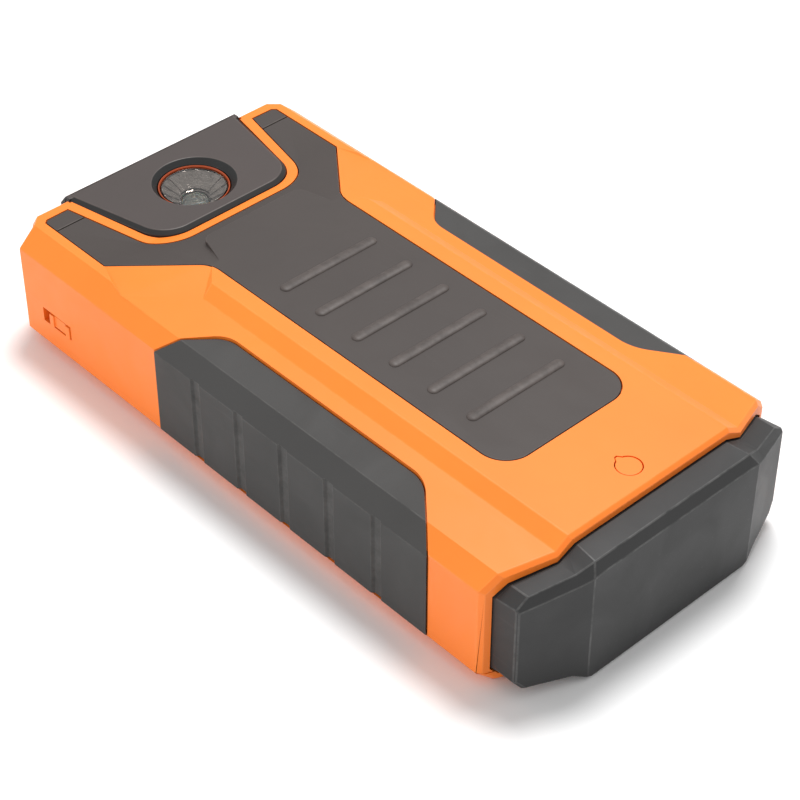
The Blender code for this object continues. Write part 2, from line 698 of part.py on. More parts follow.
# ------------------------------------------------------------------ side switch and button
def build_switches():
    face = -(HALF_WIDTH + 0.35)
    knob = box("slide_knob", (KNOB_X[0], face + 0.45, SLOT_Z[0] + GAP), (KNOB_X[1], -41.0, SLOT_Z[1] - GAP),
               "orange")
    length = KNOB_X[1] - KNOB_X[0]
    for start in (KNOB_X[0], KNOB_X[1] - 1.7):
        join(knob, box(f"knob_ridge_{start:.0f}", (start, face, SLOT_Z[0] + GAP),
                       (start + 1.7, face + 1.0, SLOT_Z[1] - GAP)))
    middle = KNOB_X[0] + length / 2
    flange_low = (KNOB_X[0] - 0.8, -41.8, SLOT_Z[0] - 1.2)
    join(knob, box("knob_flange", flange_low, (KNOB_X[1] + 1.0, -40.9, SLOT_Z[1] + 1.2)))
    join(knob, box("knob_stem", (middle - 1.0, -41.0, 11.6), (middle + 1.0, -38.9, 13.3)))
    switch = box("slide_switch", (-77.6, -40.0, 8.9), (-63.6, -35.4, 15.9), "steel", bevel=0.3)
    cut(switch, box("switch_slot", (middle - 4.3, -42, 11.2), (middle + 1.6, -38.2, 13.7)))

    button = plate("power_button", button_outline(-0.25), 33.4, PLATEAU - 0.05, "orange")
    join(button, rod("button_flange", 4.1, (BUTTON_X, 0, 32.7), (BUTTON_X, 0, 33.45)))
    switch_low = (BUTTON_X - 3.0, -3.0, BUTTON_BOARD_TOP + GAP)
    switch = box("power_switch", switch_low, (BUTTON_X + 2.8, 3.0, 31.2), "black")
    join(switch, rod("power_plunger", 1.6, (BUTTON_X, 0, 31.0), (BUTTON_X, 0, 31.8), sides=16))
    box("button_board", (66.0, -26.0, BUTTON_BOARD_TOP - 1.0), (78.5, 21.0, BUTTON_BOARD_TOP), "board")


# ------------------------------------------------------------------ grips
def build_grips():
    for side, word in ((-1, "near"), (1, "far")):
        grip = along(f"side_grip_{word}", grip_section(side, 0.0), -38, 68, "grip_rubber")
        keep_inside(grip, plate(f"grip_plan_{word}", grip_outline(side, 0.0), -2, 45))
        for number in range(GROOVE_COUNT):
            x = GROOVE_FIRST + GROOVE_PITCH * number
            face = side * 44.85
            half = GROOVE_WIDTH / 2
            outline = [(x - half - 0.6, face + side * 0.6), (x - half + 0.4, face - side * GROOVE_DEPTH),
                       (x + half - 1.2, face - side * GROOVE_DEPTH), (x + half + 0.6, face + side * 0.6)]
            cut(grip, plate(f"groove_{word}_{number}", outline, -2, 28.0))


# ------------------------------------------------------------------ end cap
def build_cap():
    """The cap: a swept shell with a chamfered front, hollow behind, with a short rim into the casing."""
    side = OPEN_SIDE[0] - GAP
    seam = [(24.7, 0.2), (SWEEP_START, 2.6), (29.5, 2.8), (39.8, 3.2), (side, 5.8), (side, 26.5),
            (38.7, 29.2), (SWEEP_START, 31.4), (26.0, 32.4), (23.4, 33.5)]
    edge = [(90.4, 24.7, 0.2), (90.4, 25.8, 0.8), (89.0, 29.2, 2.5), (84.8, 39.8, 3.2), (84.1, side, 5.8),
            (84.1, side, 27.3), (84.3, 38.7, 29.4), (87.9, 28.3, 31.5), (88.5, 26.2, 32.5),
            (89.1, 24.2, 33.4)]
    front = [(24.4, 0.6), (CAP_SWEEP_START, 1.3), (29.2, 2.9), (39.4, 3.7), (side - 0.3, 6.2),
             (side - 0.3, 26.7), (38.2, 27.4), (28.7, 29.6), (CAP_SWEEP_START, 30.6), (22.9, 31.0)]
    face = [(cap_front(y), y, z) for y, z in front]
    rings = [ring_both_sides(points) for points in (swept(seam, GAP), edge, face)]
    behind = swept_patches([0, 1, 7, 8, 9], [1, 2, 3, 4, 5, 6, 7], 20)
    ahead = swept_patches([0, 1, 8, 9], [1, 2, 3, 4, 5, 6, 7, 8], 20)
    cap = loft("end_cap", rings, "cap_plastic", behind, ahead)
    rim = [(SWEEP_START, 3.4), (39.6, 3.4), (side, 5.5), (side, 26.3), (38.6, 29.0), (SWEEP_START, 31.1),
           (23.4, 33.3)]
    rim_rings = [ring_both_sides(swept(rim, offset)) for offset in (-CAP_PLUG, 1.0)]
    join(cap, loft("cap_rim", rim_rings, None, end_patches(7), end_patches(7)))
    room = [(SWEEP_START, 5.2), (38.0, 5.2), (39.8, 6.8), (39.8, 24.8), (37.4, 26.9), (SWEEP_START, 28.7),
            (22.8, 30.4)]
    wall = [(25.8, 5.2), (38.0, 5.2), (39.6, 6.8), (39.6, 23.6), (37.2, 25.4), (25.8, 26.6), (22.8, 27.6)]
    deep = [(cap_front(y) - CAP_WALL, y, z) for y, z in wall]
    rings = [ring_both_sides(swept(room, -6.0)), ring_both_sides(swept(room, 1.5)), ring_both_sides(deep)]
    cut(cap, loft("cap_room", rings, None, end_patches(7), end_patches(7)))


# ------------------------------------------------------------------ ports
def build_ports():
    outline = [(SWEEP_START, 3.4), (39.6, 3.4), (41.7, 5.5), (41.7, 26.3), (38.6, 29.0), (SWEEP_START, 31.1),
               (23.4, 31.7)]
    front = swept(outline, PORT_FACE - PORT_END)
    back = swept(outline, PORT_FACE - PORT_END - PORT_THICK)
    panel = loft("port_panel", [ring_both_sides(back), ring_both_sides(front)], "dark_plastic",
                 end_patches(7), end_patches(7))
    cut(panel, box("jump_window", (70, JUMP_Y - 11.3, JUMP_Z - 5.8), (90, JUMP_Y + 11.3, JUMP_Z + 5.8)))
    for number, y in enumerate(USB_Y):
        cut(panel, box(f"usb_window_{number}", (70, y - 6.9, USB_Z - 3.2), (90, y + 6.9, USB_Z + 3.2)))
    cut(panel, bar_box("usb_c_window", (70, 90), USB_C, (4.9, 2.0)))
    cut(panel, bar_box("light_window", (70, 90), LIGHT_BAR, (8.3, 1.6)))

    jump_high = (PORT_FACE - 0.2, JUMP_Y + 11.0, JUMP_Z + 5.5)
    jump = box("jump_socket", (62.0, JUMP_Y - 11.0, JUMP_Z - 5.5), jump_high, "blue", bevel=1.0)
    for number, (word, shift) in enumerate((("negative", -5.3), ("positive", 5.3))):
        y = JUMP_Y + shift
        cut(jump, rod(f"contact_bore_{number}", 3.5, (58, y, JUMP_Z), (90, y, JUMP_Z), sides=24))
        contact = rod(f"jump_contact_{word}", 3.2, (58.0, y, JUMP_Z), (79.5, y, JUMP_Z), "brass", 24)
        cut(contact, rod(f"contact_hole_{word}", 2.3, (66.0, y, JUMP_Z), (95, y, JUMP_Z), sides=24))
    for number, y in enumerate(USB_Y):
        shell_high = (PORT_FACE - 0.2, y + 6.6, USB_Z + 2.9)
        shell = box(f"usb_a_socket_{number + 1}", (67.0, y - 6.6, USB_Z - 2.9), shell_high, "steel", bevel=0.4)
        cut(shell, box(f"usb_room_{number}", (69.0, y - 6.1, USB_Z - 2.4), (90, y + 6.1, USB_Z + 2.4)))
        join(shell, box(f"usb_tongue_{number}", (68.0, y - 5.4, USB_Z + 0.2), (79.5, y + 5.4, USB_Z + 1.9)))
    small = bar_box("usb_c_socket", (72.0, PORT_FACE - 0.2), USB_C, (4.5, 1.65), "steel", bevel=0.9)
    cut(small, bar_box("usb_c_room", (73.5, 90), USB_C, (4.0, 1.2)))
    join(small, bar_box("usb_c_tongue", (73.0, 79.8), USB_C, (3.2, 0.35)))
    bar_box("level_light_bar", (72.0, PORT_FACE), LIGHT_BAR, (8.0, 1.3), "clear", bevel=0.3)

    box("main_board", (50.5, JUMP_Y + 11.6, BOARD_TOP - BOARD_THICK), (77.2, 32.0, BOARD_TOP), "board")
    sink = box("heat_sink", (53.6, -3.4, BOARD_TOP + GAP), (60.0, 14.0, 20.0), "aluminium")
    for number in range(4):
        y = -1.6 + 4.4 * number
        cut(sink, box(f"sink_gap_{number}", (50, y - 1.2, 13.5), (62, y + 1.2, 25)))
    inductor = rod("inductor", 4.6, (56.2, 24.6, BOARD_TOP + GAP), (56.2, 24.6, 16.5), "black", 24)
    add_bevel(inductor, 0.8, 2)
    capacitor = rod("capacitor", 3.0, (63.5, 8.0, BOARD_TOP + GAP), (63.5, 8.0, 22.5), "black", 20)
    add_bevel(capacitor, 0.5, 2, 60)


# ------------------------------------------------------------------ battery
def build_battery():
    for number in range(CELL_COUNT):
        low = CELL_LOW + CELL_PITCH * number
        cell = box(f"battery_cell_{number + 1}", (CELL_X[0], -CELL_HALF_WIDTH, low),
                   (CELL_X[1], CELL_HALF_WIDTH, low + CELL_THICK), "pouch", bevel=1.6)
        centre = low + CELL_THICK / 2
        for side in (-1, 1):
            join(cell, box(f"tab_{number}_{side}", (CELL_X[1] - 2, side * TAB_Y - 5, centre - 0.3),
                           (47.2, side * TAB_Y + 5, centre + 0.3)))
        if number:
            box(f"cell_pad_{number}", (CELL_X[0] + 3, -27, low - CELL_PITCH + CELL_THICK + GAP),
                (CELL_X[1] - 3, 27, low - GAP), "foam")
            side = 1 if number == 1 else -1
            box(f"cell_link_{number}", (47.5, side * TAB_Y - 5, centre - CELL_PITCH - 0.8),
                (48.3, side * TAB_Y + 5, centre + 0.8), "copper")
    first = CELL_LOW + CELL_THICK / 2
    last = first + CELL_PITCH * (CELL_COUNT - 1)
    tube("negative_lead", [(48.2, -TAB_Y - 1, first), (50.0, -TAB_Y - 1, first), (52.5, -19.5, first + 1.5),
                           (55.0, JUMP_Y - 5.3, JUMP_Z), (57.7, JUMP_Y - 5.3, JUMP_Z)], 1.6, "black")
    tube("positive_lead", [(48.2, TAB_Y - 1, last), (50.6, TAB_Y - 1.6, last), (51.2, TAB_Y - 8, last - 0.5),
                           (50.8, 0.0, 22.0), (51.4, -7.0, 17.0), (54.0, JUMP_Y + 5.5, JUMP_Z + 0.6),
                           (57.7, JUMP_Y + 5.3, JUMP_Z)], 1.6, "red")
    tube("lamp_lead", [(-61.5, 4.0, 25.8), (-57.0, 10.0, 25.0), (-50.0, 33.8, 22.0), (-20.0, 34.8, 22.5),
                       (30.0, 34.8, 22.5), (52.0, 33.5, 20.0), (60.0, 31.0, 12.5), (62.0, 30.0, 11.9)],
         0.8, "black")


# ------------------------------------------------------------------ fastenings and feet
def screw(name, x, y, head_z, tip_z):
    """A pan-head screw with a cross recess; the head's flat side is at head_z."""
    direction = 1 if head_z > tip_z else -1
    body = rod(name, 2.5, (x, y, head_z), (x, y, head_z - direction * 1.3), "steel", 20)
    join(body, rod(f"{name}_shank", 1.2, (x, y, head_z - direction * 1.2), (x, y, tip_z), sides=12))
    for turn in (0, 1):
        size = (1.5, 0.3) if turn else (0.3, 1.5)
        cut(body, box(f"{name}_cross_{turn}", (x - size[0], y - size[1], head_z - 0.7),
                      (x + size[0], y + size[1], head_z + 0.7)))


def build_fastenings():
    number = 1
    for side in (-1, 1):
        for x, y in SCREW_PLACES:
            screw(f"housing_screw_{number}", x, side * y, FLOOR + 0.1, 10.0)
            number += 1
        word = "near" if side < 0 else "far"
        screw(f"corner_screw_{word}", CORNER_SCREW[0], side * CORNER_SCREW[1], 31.0, 18.0)
    number = 1
    for x, y in FOOT_PLACES:
        for side in (-1, 1):
            top = (x, side * y, 1.5 - GAP)
            foot = rod(f"foot_{number}", FOOT_RADIUS, (x, side * y, 0.0), top, "grip_rubber", 28)
            add_bevel(foot, 0.3)
            number += 1


clear_scene()
PARTS = collection("jump_starter_pack")
CUTTERS = collection("cutters")
build_casing()
build_top_panel()
build_lamp()
build_switches()
build_grips()
build_cap()
build_ports()
build_battery()
build_fastenings()
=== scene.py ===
"""Jump starter pack: the looks of a flat battery pack with a lamp, a slide switch and a capped port end.

Shapes are drawn in millimetres, and object_from turns them into metres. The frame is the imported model's
own: +X runs from the lamp end to the port end, +Z is up, and the slide switch is on the -Y side.
"""
import math

import bmesh
import bpy
from mathutils import Matrix, Vector


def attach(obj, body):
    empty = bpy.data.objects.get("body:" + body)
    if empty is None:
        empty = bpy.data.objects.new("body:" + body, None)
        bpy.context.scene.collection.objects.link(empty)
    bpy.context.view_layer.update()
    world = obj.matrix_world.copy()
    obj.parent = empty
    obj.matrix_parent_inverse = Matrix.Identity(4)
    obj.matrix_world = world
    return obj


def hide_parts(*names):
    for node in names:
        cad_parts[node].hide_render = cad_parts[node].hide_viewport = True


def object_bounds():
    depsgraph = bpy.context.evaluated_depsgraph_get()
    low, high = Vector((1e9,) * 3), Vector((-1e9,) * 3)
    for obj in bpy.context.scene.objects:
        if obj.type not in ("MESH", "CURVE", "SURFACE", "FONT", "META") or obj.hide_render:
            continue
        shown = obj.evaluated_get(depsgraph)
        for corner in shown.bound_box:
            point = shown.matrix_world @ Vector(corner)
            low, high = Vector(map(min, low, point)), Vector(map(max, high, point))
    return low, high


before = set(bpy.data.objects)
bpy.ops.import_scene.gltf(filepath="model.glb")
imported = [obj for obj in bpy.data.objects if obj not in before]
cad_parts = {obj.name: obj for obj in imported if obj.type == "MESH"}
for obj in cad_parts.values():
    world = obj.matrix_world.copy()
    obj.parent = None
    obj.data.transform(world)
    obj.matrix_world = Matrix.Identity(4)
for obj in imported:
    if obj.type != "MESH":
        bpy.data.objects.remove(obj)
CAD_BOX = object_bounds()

MM = 0.001
GAP = 0.3
OUTSIDE = 2                    # slot of the casing's own outer faces
SIDES = (-1, 1)                # near and far
DRAWN_MERGE = 0.0001           # millimetres within which a drawn shape's points are one
MERGE = 0.00001                # the same in metres, for a shape that has been cut or joined
FINISHED_MERGE = 0.0000005     # and for a finished piece
SOFT_CREASE = 40.0             # degrees past which an edge beside a rounded face is sharp
FLAT_ANGLE = math.radians(0.3)
ROUND_FROM = 18.0              # degrees past which an outer edge of the casing is rounded
SHORT_EDGE_SHARE = 0.4         # of the shortest edge nearby, the widest rounding

# ---- casing, as packed ----
HALF_WIDTH = 44.5
LAMP_END = -90.7
PORT_END = 82.75
CAP_FRONT = 90.9
WALL = 2.4
FLOOR = 0.6
SPLIT = 4.0
SIDE_TOP = 28.2
FRAME_TOP = 32.9
PLATEAU = 36.15
SWEEP = 0.385
SWEEP_START = 28.5
END_BEVEL = 0.95
CAP_SWEEP = 0.39
CAP_SWEEP_START = 25.8
CAP_PLUG = 1.3
CAP_WALL = 2.0
FOOT = (40.5, FLOOR)
SILL = (HALF_WIDTH, SPLIT)
SIDE = (HALF_WIDTH, SIDE_TOP)
SHOULDER = (40.4, 32.1)
STRIP = (28.5, 33.9)
CROWN = (24.8, PLATEAU)
OPEN_SIDE = (42.1, 26.7)
OPEN_SHOULDER = (38.9, 29.5)
OPEN_STRIP = (28.6, 31.6)
OPEN_CROWN = (23.7, 33.75)
OPEN_FLOOR = 3.0
FACETS = (-59.8, -49.1, -32.8)  # start, middle and end of the shoulders' facets along X
CORNER_X = -84.6
OUTER_ROUND = 0.25

# ---- top panel, lamp and controls ----
PANEL_THICK = 1.6
RAMP_START = (-59.8, 36.8)
RAMP_END = (-39.4, 20.2)
PANEL_TIP = -84.1
PANEL_END = 58.7
PANEL_SEAM = -78.8
PAD_FRONT = -49.2
RIB_FIRST = -20.6
RIB_PITCH = 12.5
RIB_COUNT = 6
RIB_HALF_LENGTH = 14.8
RIB_WIDTH = 3.0
RIB_HEIGHT = 0.6
LAMP_X = -71.6
LAMP_PANEL_LOW = 33.5
LAMP_PANEL_HIGH = 34.5
LAMP_PANEL_INNER = -56.6
LAMP_PANEL_OUTER = -88.5
LAMP_PANEL_FRONT = -88.4
LAMP_SKIRT_HALF = 27.3
RIB_SINK = 0.02
RECESS_RADIUS = 10.8
LENS_RADIUS = 9.2
LENS_TOP = 32.2
LED_TOP = 28.5
SLOT_X = (-77.2, -66.0)
SLOT_Z = (10.4, 14.5)
KNOB_X = (-74.3, -66.25)
BUTTON_X = 75.8
BUTTON_RADIUS = 3.2
BUTTON_NUB = 0.95

# ---- grips and feet ----
GRIP_X = (-31.3, 60.6)
GRIP_INNER = 32.6
GRIP_BOTTOM = 4.3
GROOVE_FIRST = -16.4
GROOVE_PITCH = 15.3
GROOVE_COUNT = 5
GROOVE_WIDTH = 3.7
GROOVE_DEPTH = 0.7
CORNER_SCREW = (-81.0, 32.9)
SCREW_PLACES = ((-54.0, 37.0), (66.0, 36.6))
FOOT_PLACES = ((-74.0, 30.0), (64.0, 26.0))
FOOT_RADIUS = 5.0

# ---- ports ----
PORT_FACE = PORT_END - 2.0
PORT_THICK = 1.8
SOCKET_END = PORT_FACE - 0.2
BUTTON_BOARD_TOP = 28.9
JUMP_Y = -16.0
JUMP_Z = 13.9
JUMP_SHIFT = 5.3
USB_Y = (5.5, 20.5)
USB_Z = 13.9
USB_C = (13.0, 25.8)
LIGHT_BAR = (-16.0, 25.6)

# ---- light and view, in metres, watts and degrees ----
WORLD_LIGHT = 0.64
TARGET = (0, 0, 0.02)
KEY = ((-0.12, 0.26, 0.93), 0.35, 8.0)
FILL = ((-0.35, -0.95, 0.12), 0.5, 1.9)
CAMERA_PLACE = (0.30830, -0.28151, 0.36413)
CAMERA_AZIMUTH = 47.220
CAMERA_ELEVATION = 40.553
LENS_LENGTH = 103.25
SENSOR_WIDTH = 36.0


# ------------------------------------------------------------------ mesh helpers
def settle(obj):
    """Turns an object's modifiers into its mesh."""
    depsgraph = bpy.context.evaluated_depsgraph_get()
    made = bpy.data.meshes.new_from_object(obj.evaluated_get(depsgraph), preserve_all_data_layers=True,
                                           depsgraph=depsgraph)
    obj.modifiers.clear()
    old = obj.data
    obj.data = made
    if old.users == 0:
        bpy.data.meshes.remove(old)
    return obj


def linked(name, data):
    """A new object for the data, in the scene."""
    obj = bpy.data.objects.new(name, data)
    bpy.context.scene.collection.objects.link(obj)
    return obj


def object_from(bm, name):
    """An object in metres from a mesh in millimetres, with one slot for flats and one for rounded edges."""
    bmesh.ops.recalc_face_normals(bm, faces=bm.faces)
    bmesh.ops.scale(bm, vec=(MM, MM, MM), verts=bm.verts)
    mesh = bpy.data.meshes.new(name)
    bm.to_mesh(mesh)
    bm.free()
    mesh.materials.append(None)
    mesh.materials.append(None)
    return linked(name, mesh)


def box(name, low, high):
    bm = bmesh.new()
    bmesh.ops.create_cube(bm, size=1.0)
    low, high = Vector(low), Vector(high)
    bmesh.ops.scale(bm, vec=high - low, verts=bm.verts)
    bmesh.ops.translate(bm, vec=(high + low) / 2, verts=bm.verts)
    return object_from(bm, name)


def block(name, start, end, centre, half):
    """A box from start to end along X, about a centre (y, z)."""
    (y, z), (a, b) = centre, half
    return box(name, (start, y - a, z - b), (end, y + a, z + b))


def rod(name, radius, start, end, sides=48):
    start = Vector(start)
    along = Vector(end) - start
    bm = bmesh.new()
    bmesh.ops.create_cone(bm, cap_ends=True, segments=sides, radius1=radius, radius2=radius,
                          depth=along.length)
    turn = Vector((0, 0, 1)).rotation_difference(along).to_matrix()
    bmesh.ops.rotate(bm, cent=(0, 0, 0), matrix=turn, verts=bm.verts)
    bmesh.ops.translate(bm, vec=start + along / 2, verts=bm.verts)
    return object_from(bm, name)


def upright(name, radius, place, side, low, high, sides=24):
    """An upright rod at a place (x, y), on the near or the far side."""
    x, y = place
    return rod(name, radius, (x, side * y, low), (x, side * y, high), sides)


def add_rings(bm, rings):
    """Rows of new points, with a strip of faces from each row to the next."""
    rows = [[bm.verts.new(point) for point in ring] for ring in rings]
    for row, following in zip(rows, rows[1:]):
        for i in range(len(row)):
            j = (i + 1) % len(row)
            bm.faces.new((row[i], row[j], following[j], following[i]))
    return rows


def loft(name, rings, start_faces=None, end_faces=None):
    """Joins rings of points, each with as many points, into one closed body with whole flat faces."""
    bm = bmesh.new()
    rows = add_rings(bm, rings)
    for row, faces in ((rows[0], start_faces), (rows[-1], end_faces)):
        for face in faces or [range(len(row))]:
            bm.faces.new([row[i] for i in face])
    bmesh.ops.triangulate(bm, faces=[face for face in bm.faces if len(face.verts) == 4],
                          quad_method="SHORT_EDGE")
    bmesh.ops.remove_doubles(bm, verts=bm.verts, dist=DRAWN_MERGE)
    bmesh.ops.dissolve_limit(bm, angle_limit=math.radians(0.4), verts=bm.verts, edges=bm.edges)
    return object_from(bm, name)


def prism(name, outline, axis, low, high):
    """An outline made solid from low to high along an axis: X, Y or Z."""
    place = {"X": lambda a, b, c: (c, a, b), "Y": lambda a, b, c: (a, c, b),
             "Z": lambda a, b, c: (a, b, c)}[axis]
    bm = bmesh.new()
    for row in add_rings(bm, [[place(a, b, level) for a, b in outline] for level in (low, high)]):
        bm.faces.new(row)
    return object_from(bm, name)


def turned(name, profile, centre=(LAMP_X, 0), steps=96):
    """A closed profile (radius, height) turned about a vertical axis."""
    bm = bmesh.new()
    rows = []
    for step in range(steps):
        angle = math.tau * step / steps
        rows.append([bm.verts.new((centre[0] + radius * math.cos(angle), centre[1] + radius * math.sin(angle),
                                   height)) for radius, height in profile])
    count = len(profile)
    for row, following in zip(rows, rows[1:] + rows[:1]):
        for i in range(count):
            j = (i + 1) % count
            if profile[i][0] > 0 or profile[j][0] > 0:
                bm.faces.new((row[i], row[j], following[j], following[i]))
    bmesh.ops.remove_doubles(bm, verts=bm.verts, dist=DRAWN_MERGE)
    bmesh.ops.dissolve_degenerate(bm, dist=DRAWN_MERGE, edges=bm.edges)
    return object_from(bm, name)


def combine(obj, operation, *others):
    for other in others:
        modifier = obj.modifiers.new(operation, "BOOLEAN")
        modifier.operation = operation
        modifier.solver = "EXACT"
        modifier.material_mode = "INDEX"
        modifier.object = other
    settle(obj)
    for other in others:
        mesh = other.data
        bpy.data.objects.remove(other, do_unlink=True)
        bpy.data.meshes.remove(mesh)
    return obj


def cut(obj, *others):
    return combine(obj, "DIFFERENCE", *others)


def join(obj, *others):
    return combine(obj, "UNION", *others)


def keep_inside(obj, *others):
    return combine(obj, "INTERSECT", *others)


def cleaned(obj):
    """The object's mesh as a bmesh, with its points merged and its flat faces whole."""
    bm = bmesh.new()
    bm.from_mesh(obj.data)
    bmesh.ops.remove_doubles(bm, verts=bm.verts, dist=MERGE)
    bmesh.ops.dissolve_limit(bm, angle_limit=FLAT_ANGLE, verts=bm.verts, edges=bm.edges, delimit={"MATERIAL"})
    return bm


def write_back(bm, obj):
    bm.to_mesh(obj.data)
    bm.free()


def bevel(obj, width, segments=3, clamp=False, angle=None):
    """Rounds edges sharper than angle, or else by stored weights; the new faces go in the second slot."""
    modifier = obj.modifiers.new("Round", "BEVEL")
    modifier.use_clamp_overlap = clamp
    modifier.width = width * MM
    modifier.segments = segments
    modifier.limit_method = "WEIGHT" if angle is None else "ANGLE"
    if angle is not None:
        modifier.angle_limit = math.radians(angle)
    modifier.material = 1
    return settle(obj)


def round_edges(obj, width, segments=3, angle=14.0):
    """Rounds a plain body, less where the roundings would meet."""
    return bevel(obj, width, segments, True, angle)


def round_cut(obj, width, angle):
    """Rounds a body that has been cut or joined."""
    write_back(cleaned(obj), obj)
    return bevel(obj, width, angle=angle)


def round_outside(obj, width):
    """Rounds the edges between two outer faces, less where an edge beside them is short."""
    bm = cleaned(obj)
    weight = bm.edges.layers.float.new("bevel_weight_edge")
    for edge in bm.edges:
        outer = [face for face in edge.link_faces if face.material_index == OUTSIDE]
        if len(edge.link_faces) == len(outer) == 2 and math.degrees(edge.calc_face_angle(0.0)) > ROUND_FROM:
            shortest = min(other.calc_length() for vert in edge.verts for other in vert.link_edges)
            edge[weight] = min(1.0, SHORT_EDGE_SHARE * shortest / (width * MM))
    write_back(bm, obj)
    return bevel(obj, width)


def finish_piece(obj, name, finish, slot, *nodes, crease=1.5, body="pack"):
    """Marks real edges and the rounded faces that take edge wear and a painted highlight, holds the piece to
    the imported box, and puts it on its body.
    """
    bm = bmesh.new()
    bm.from_mesh(obj.data)
    bmesh.ops.remove_doubles(bm, verts=bm.verts, dist=FINISHED_MERGE)
    # The rounded faces carry the mask for edge wear and for a painted highlight along the edges.
    edge_layer = bm.faces.layers.float.new("edge_wear_and_highlight")
    for face in bm.faces:
        face[edge_layer] = 1.0 if face.material_index == 1 else 0.0
        face.smooth = True
    for edge in bm.edges:
        if len(edge.link_faces) != 2:
            continue
        turn = math.degrees(edge.calc_face_angle(0.0))
        soft = any(face.material_index == 1 for face in edge.link_faces)
        edge.smooth = turn < (SOFT_CREASE if soft else crease)
    for face in bm.faces:
        face.material_index = 0
    for vert in bm.verts:
        vert.co = [min(max(value, low), high) for value, low, high in zip(vert.co, *CAD_BOX)]
    write_back(bm, obj)
    weighted = obj.modifiers.new("Weighted", "WEIGHTED_NORMAL")
    weighted.keep_sharp = True
    weighted.weight = 80
    settle(obj)
    obj.data.materials.clear()
    obj.data.materials.append(finish)
    obj.name = name
    obj.data.name = name
    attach(obj, body)
    if nodes:
        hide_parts(*nodes)
    return obj


# ------------------------------------------------------------------ outlines
def rounded(corners, segments=20):
    """An outline from corners (x, y, radius), with each corner replaced by an arc."""
    points = []
    count = len(corners)
    for i, (x, y, radius) in enumerate(corners):
        here = Vector((x, y))
        if radius == 0:
            points.append((x, y))
            continue
        before = (Vector(corners[i - 1][:2]) - here).normalized()
        after = (Vector(corners[(i + 1) % count][:2]) - here).normalized()
        half = before.angle(after) / 2
        centre = here + (before + after).normalized() * (radius / math.sin(half))
        start = here + before * (radius / math.tan(half)) - centre
        end = here + after * (radius / math.tan(half)) - centre
        total = start.angle_signed(end)
        first = math.atan2(start.y, start.x)
        for step in range(segments + 1):
            angle = first - total * step / segments
            points.append((centre.x + radius * math.cos(angle), centre.y + radius * math.sin(angle)))
    return anticlockwise(points)


def anticlockwise(outline):
    area = sum(a[0] * b[1] - b[0] * a[1] for a, b in zip(outline, outline[1:] + outline[:1]))
    return outline if area > 0 else outline[::-1]


def grown(outline, distance):
    """An anticlockwise outline moved outwards by distance."""
    moved = []
    count = len(outline)
    for i, point in enumerate(outline):
        here = Vector(point)
        before = (here - Vector(outline[i - 1])).normalized()
        after = (Vector(outline[(i + 1) % count]) - here).normalized()
        out_before = Vector((before.y, -before.x))
        out = (out_before + Vector((after.y, -after.x))).normalized()
        moved.append(tuple(here + out * (distance / max(0.3, out.dot(out_before)))))
    return moved


def ring_both_sides(half):
    return [(x, -y, z) for x, y, z in half] + [(x, y, z) for x, y, z in reversed(half)]


def port_end(y):
    return PORT_END - SWEEP * max(0.0, y - SWEEP_START)


def cap_front(y):
    return CAP_FRONT - CAP_SWEEP * max(0.0, y - CAP_SWEEP_START)


def swept(outline, offset):
    return [(port_end(y) + offset, y, z) for y, z in outline]


def swept_patches(straight, side, count):
    middle = straight + [count - 1 - i for i in reversed(straight)]
    return [middle, side, [count - 1 - i for i in side]]


def end_patches(count):
    return swept_patches([0, count - 2, count - 1], list(range(count - 1)), 2 * count)


def panel_outline():
    half = [(PANEL_TIP, 29.7, 0), (PANEL_TIP + 0.1, 35.9, 0), (PANEL_TIP + 0.9, 36.8, 0),
            (*RAMP_START, 0), (*RAMP_END, 9.0), (PANEL_END, 20.2, 7.0)]
    near = [(x, -y, r) for x, y, r in reversed(half)]
    return rounded(half + near + [(-53.6, -23.0, 11.5), (-53.6, 23.0, 11.5)])


def lamp_outline(inset):
    corners = [(-89.4, -27.7, 0), (-56.35, -20.9, 9.5), (-56.35, 20.9, 9.5), (-89.4, 27.7, 0)]
    return grown(rounded(corners), -inset)


def lamp_skirt_outline(grow):
    points = [(-90.9, 26.6), (-89.6, 26.6), (-89.6, 28.6), (-86.4, 32.6), (-86.4, 33.4), (-88.5, 33.4),
              (-90.9, 30.4)]
    return grown(points, grow)


def button_outline(grow):
    radius = BUTTON_RADIUS + grow
    tip = 0.35
    points = []
    for step in range(49):
        angle = math.pi + tip + (math.tau - 2 * tip) * step / 48
        points.append((BUTTON_X + radius * math.cos(angle), radius * math.sin(angle)))
    points.append((BUTTON_X - radius - BUTTON_NUB * 0.85, 0.35))
    points.append((BUTTON_X - radius - BUTTON_NUB * 0.85, -0.35))
    return points


def grip_outline(side, grow):
    corners = [(GRIP_X[0], 50.0, 0), (GRIP_X[0], 44.6, 0), (-26.6, 40.5, 0), (-18.8, GRIP_INNER, 8.0),
               (46.8, GRIP_INNER, 10.0), (55.6, 40.3, 0), (GRIP_X[1], 44.7, 0), (GRIP_X[1], 50.0, 0)]
    return anticlockwise([(x, side * y) for x, y in grown(rounded(corners, 8), grow)])


def grip_section(side, grow):
    inner = [(43.65 - grow, GRIP_BOTTOM - 8 * grow), (43.65 - grow, 27.7), (39.9, 31.0 - grow),
             (GRIP_INNER - 2, 31.4 - grow)]
    if grow:
        outer = [(GRIP_INNER - 2, 36.0), (50.0, 36.0), (50.0, GRIP_BOTTOM - 8 * grow)]
    else:
        outer = [(GRIP_INNER - 2, 32.75), (40.4, 32.0), (44.85, 27.8), (44.85, GRIP_BOTTOM)]
    return anticlockwise([(side * y, z) for y, z in inner + outer])


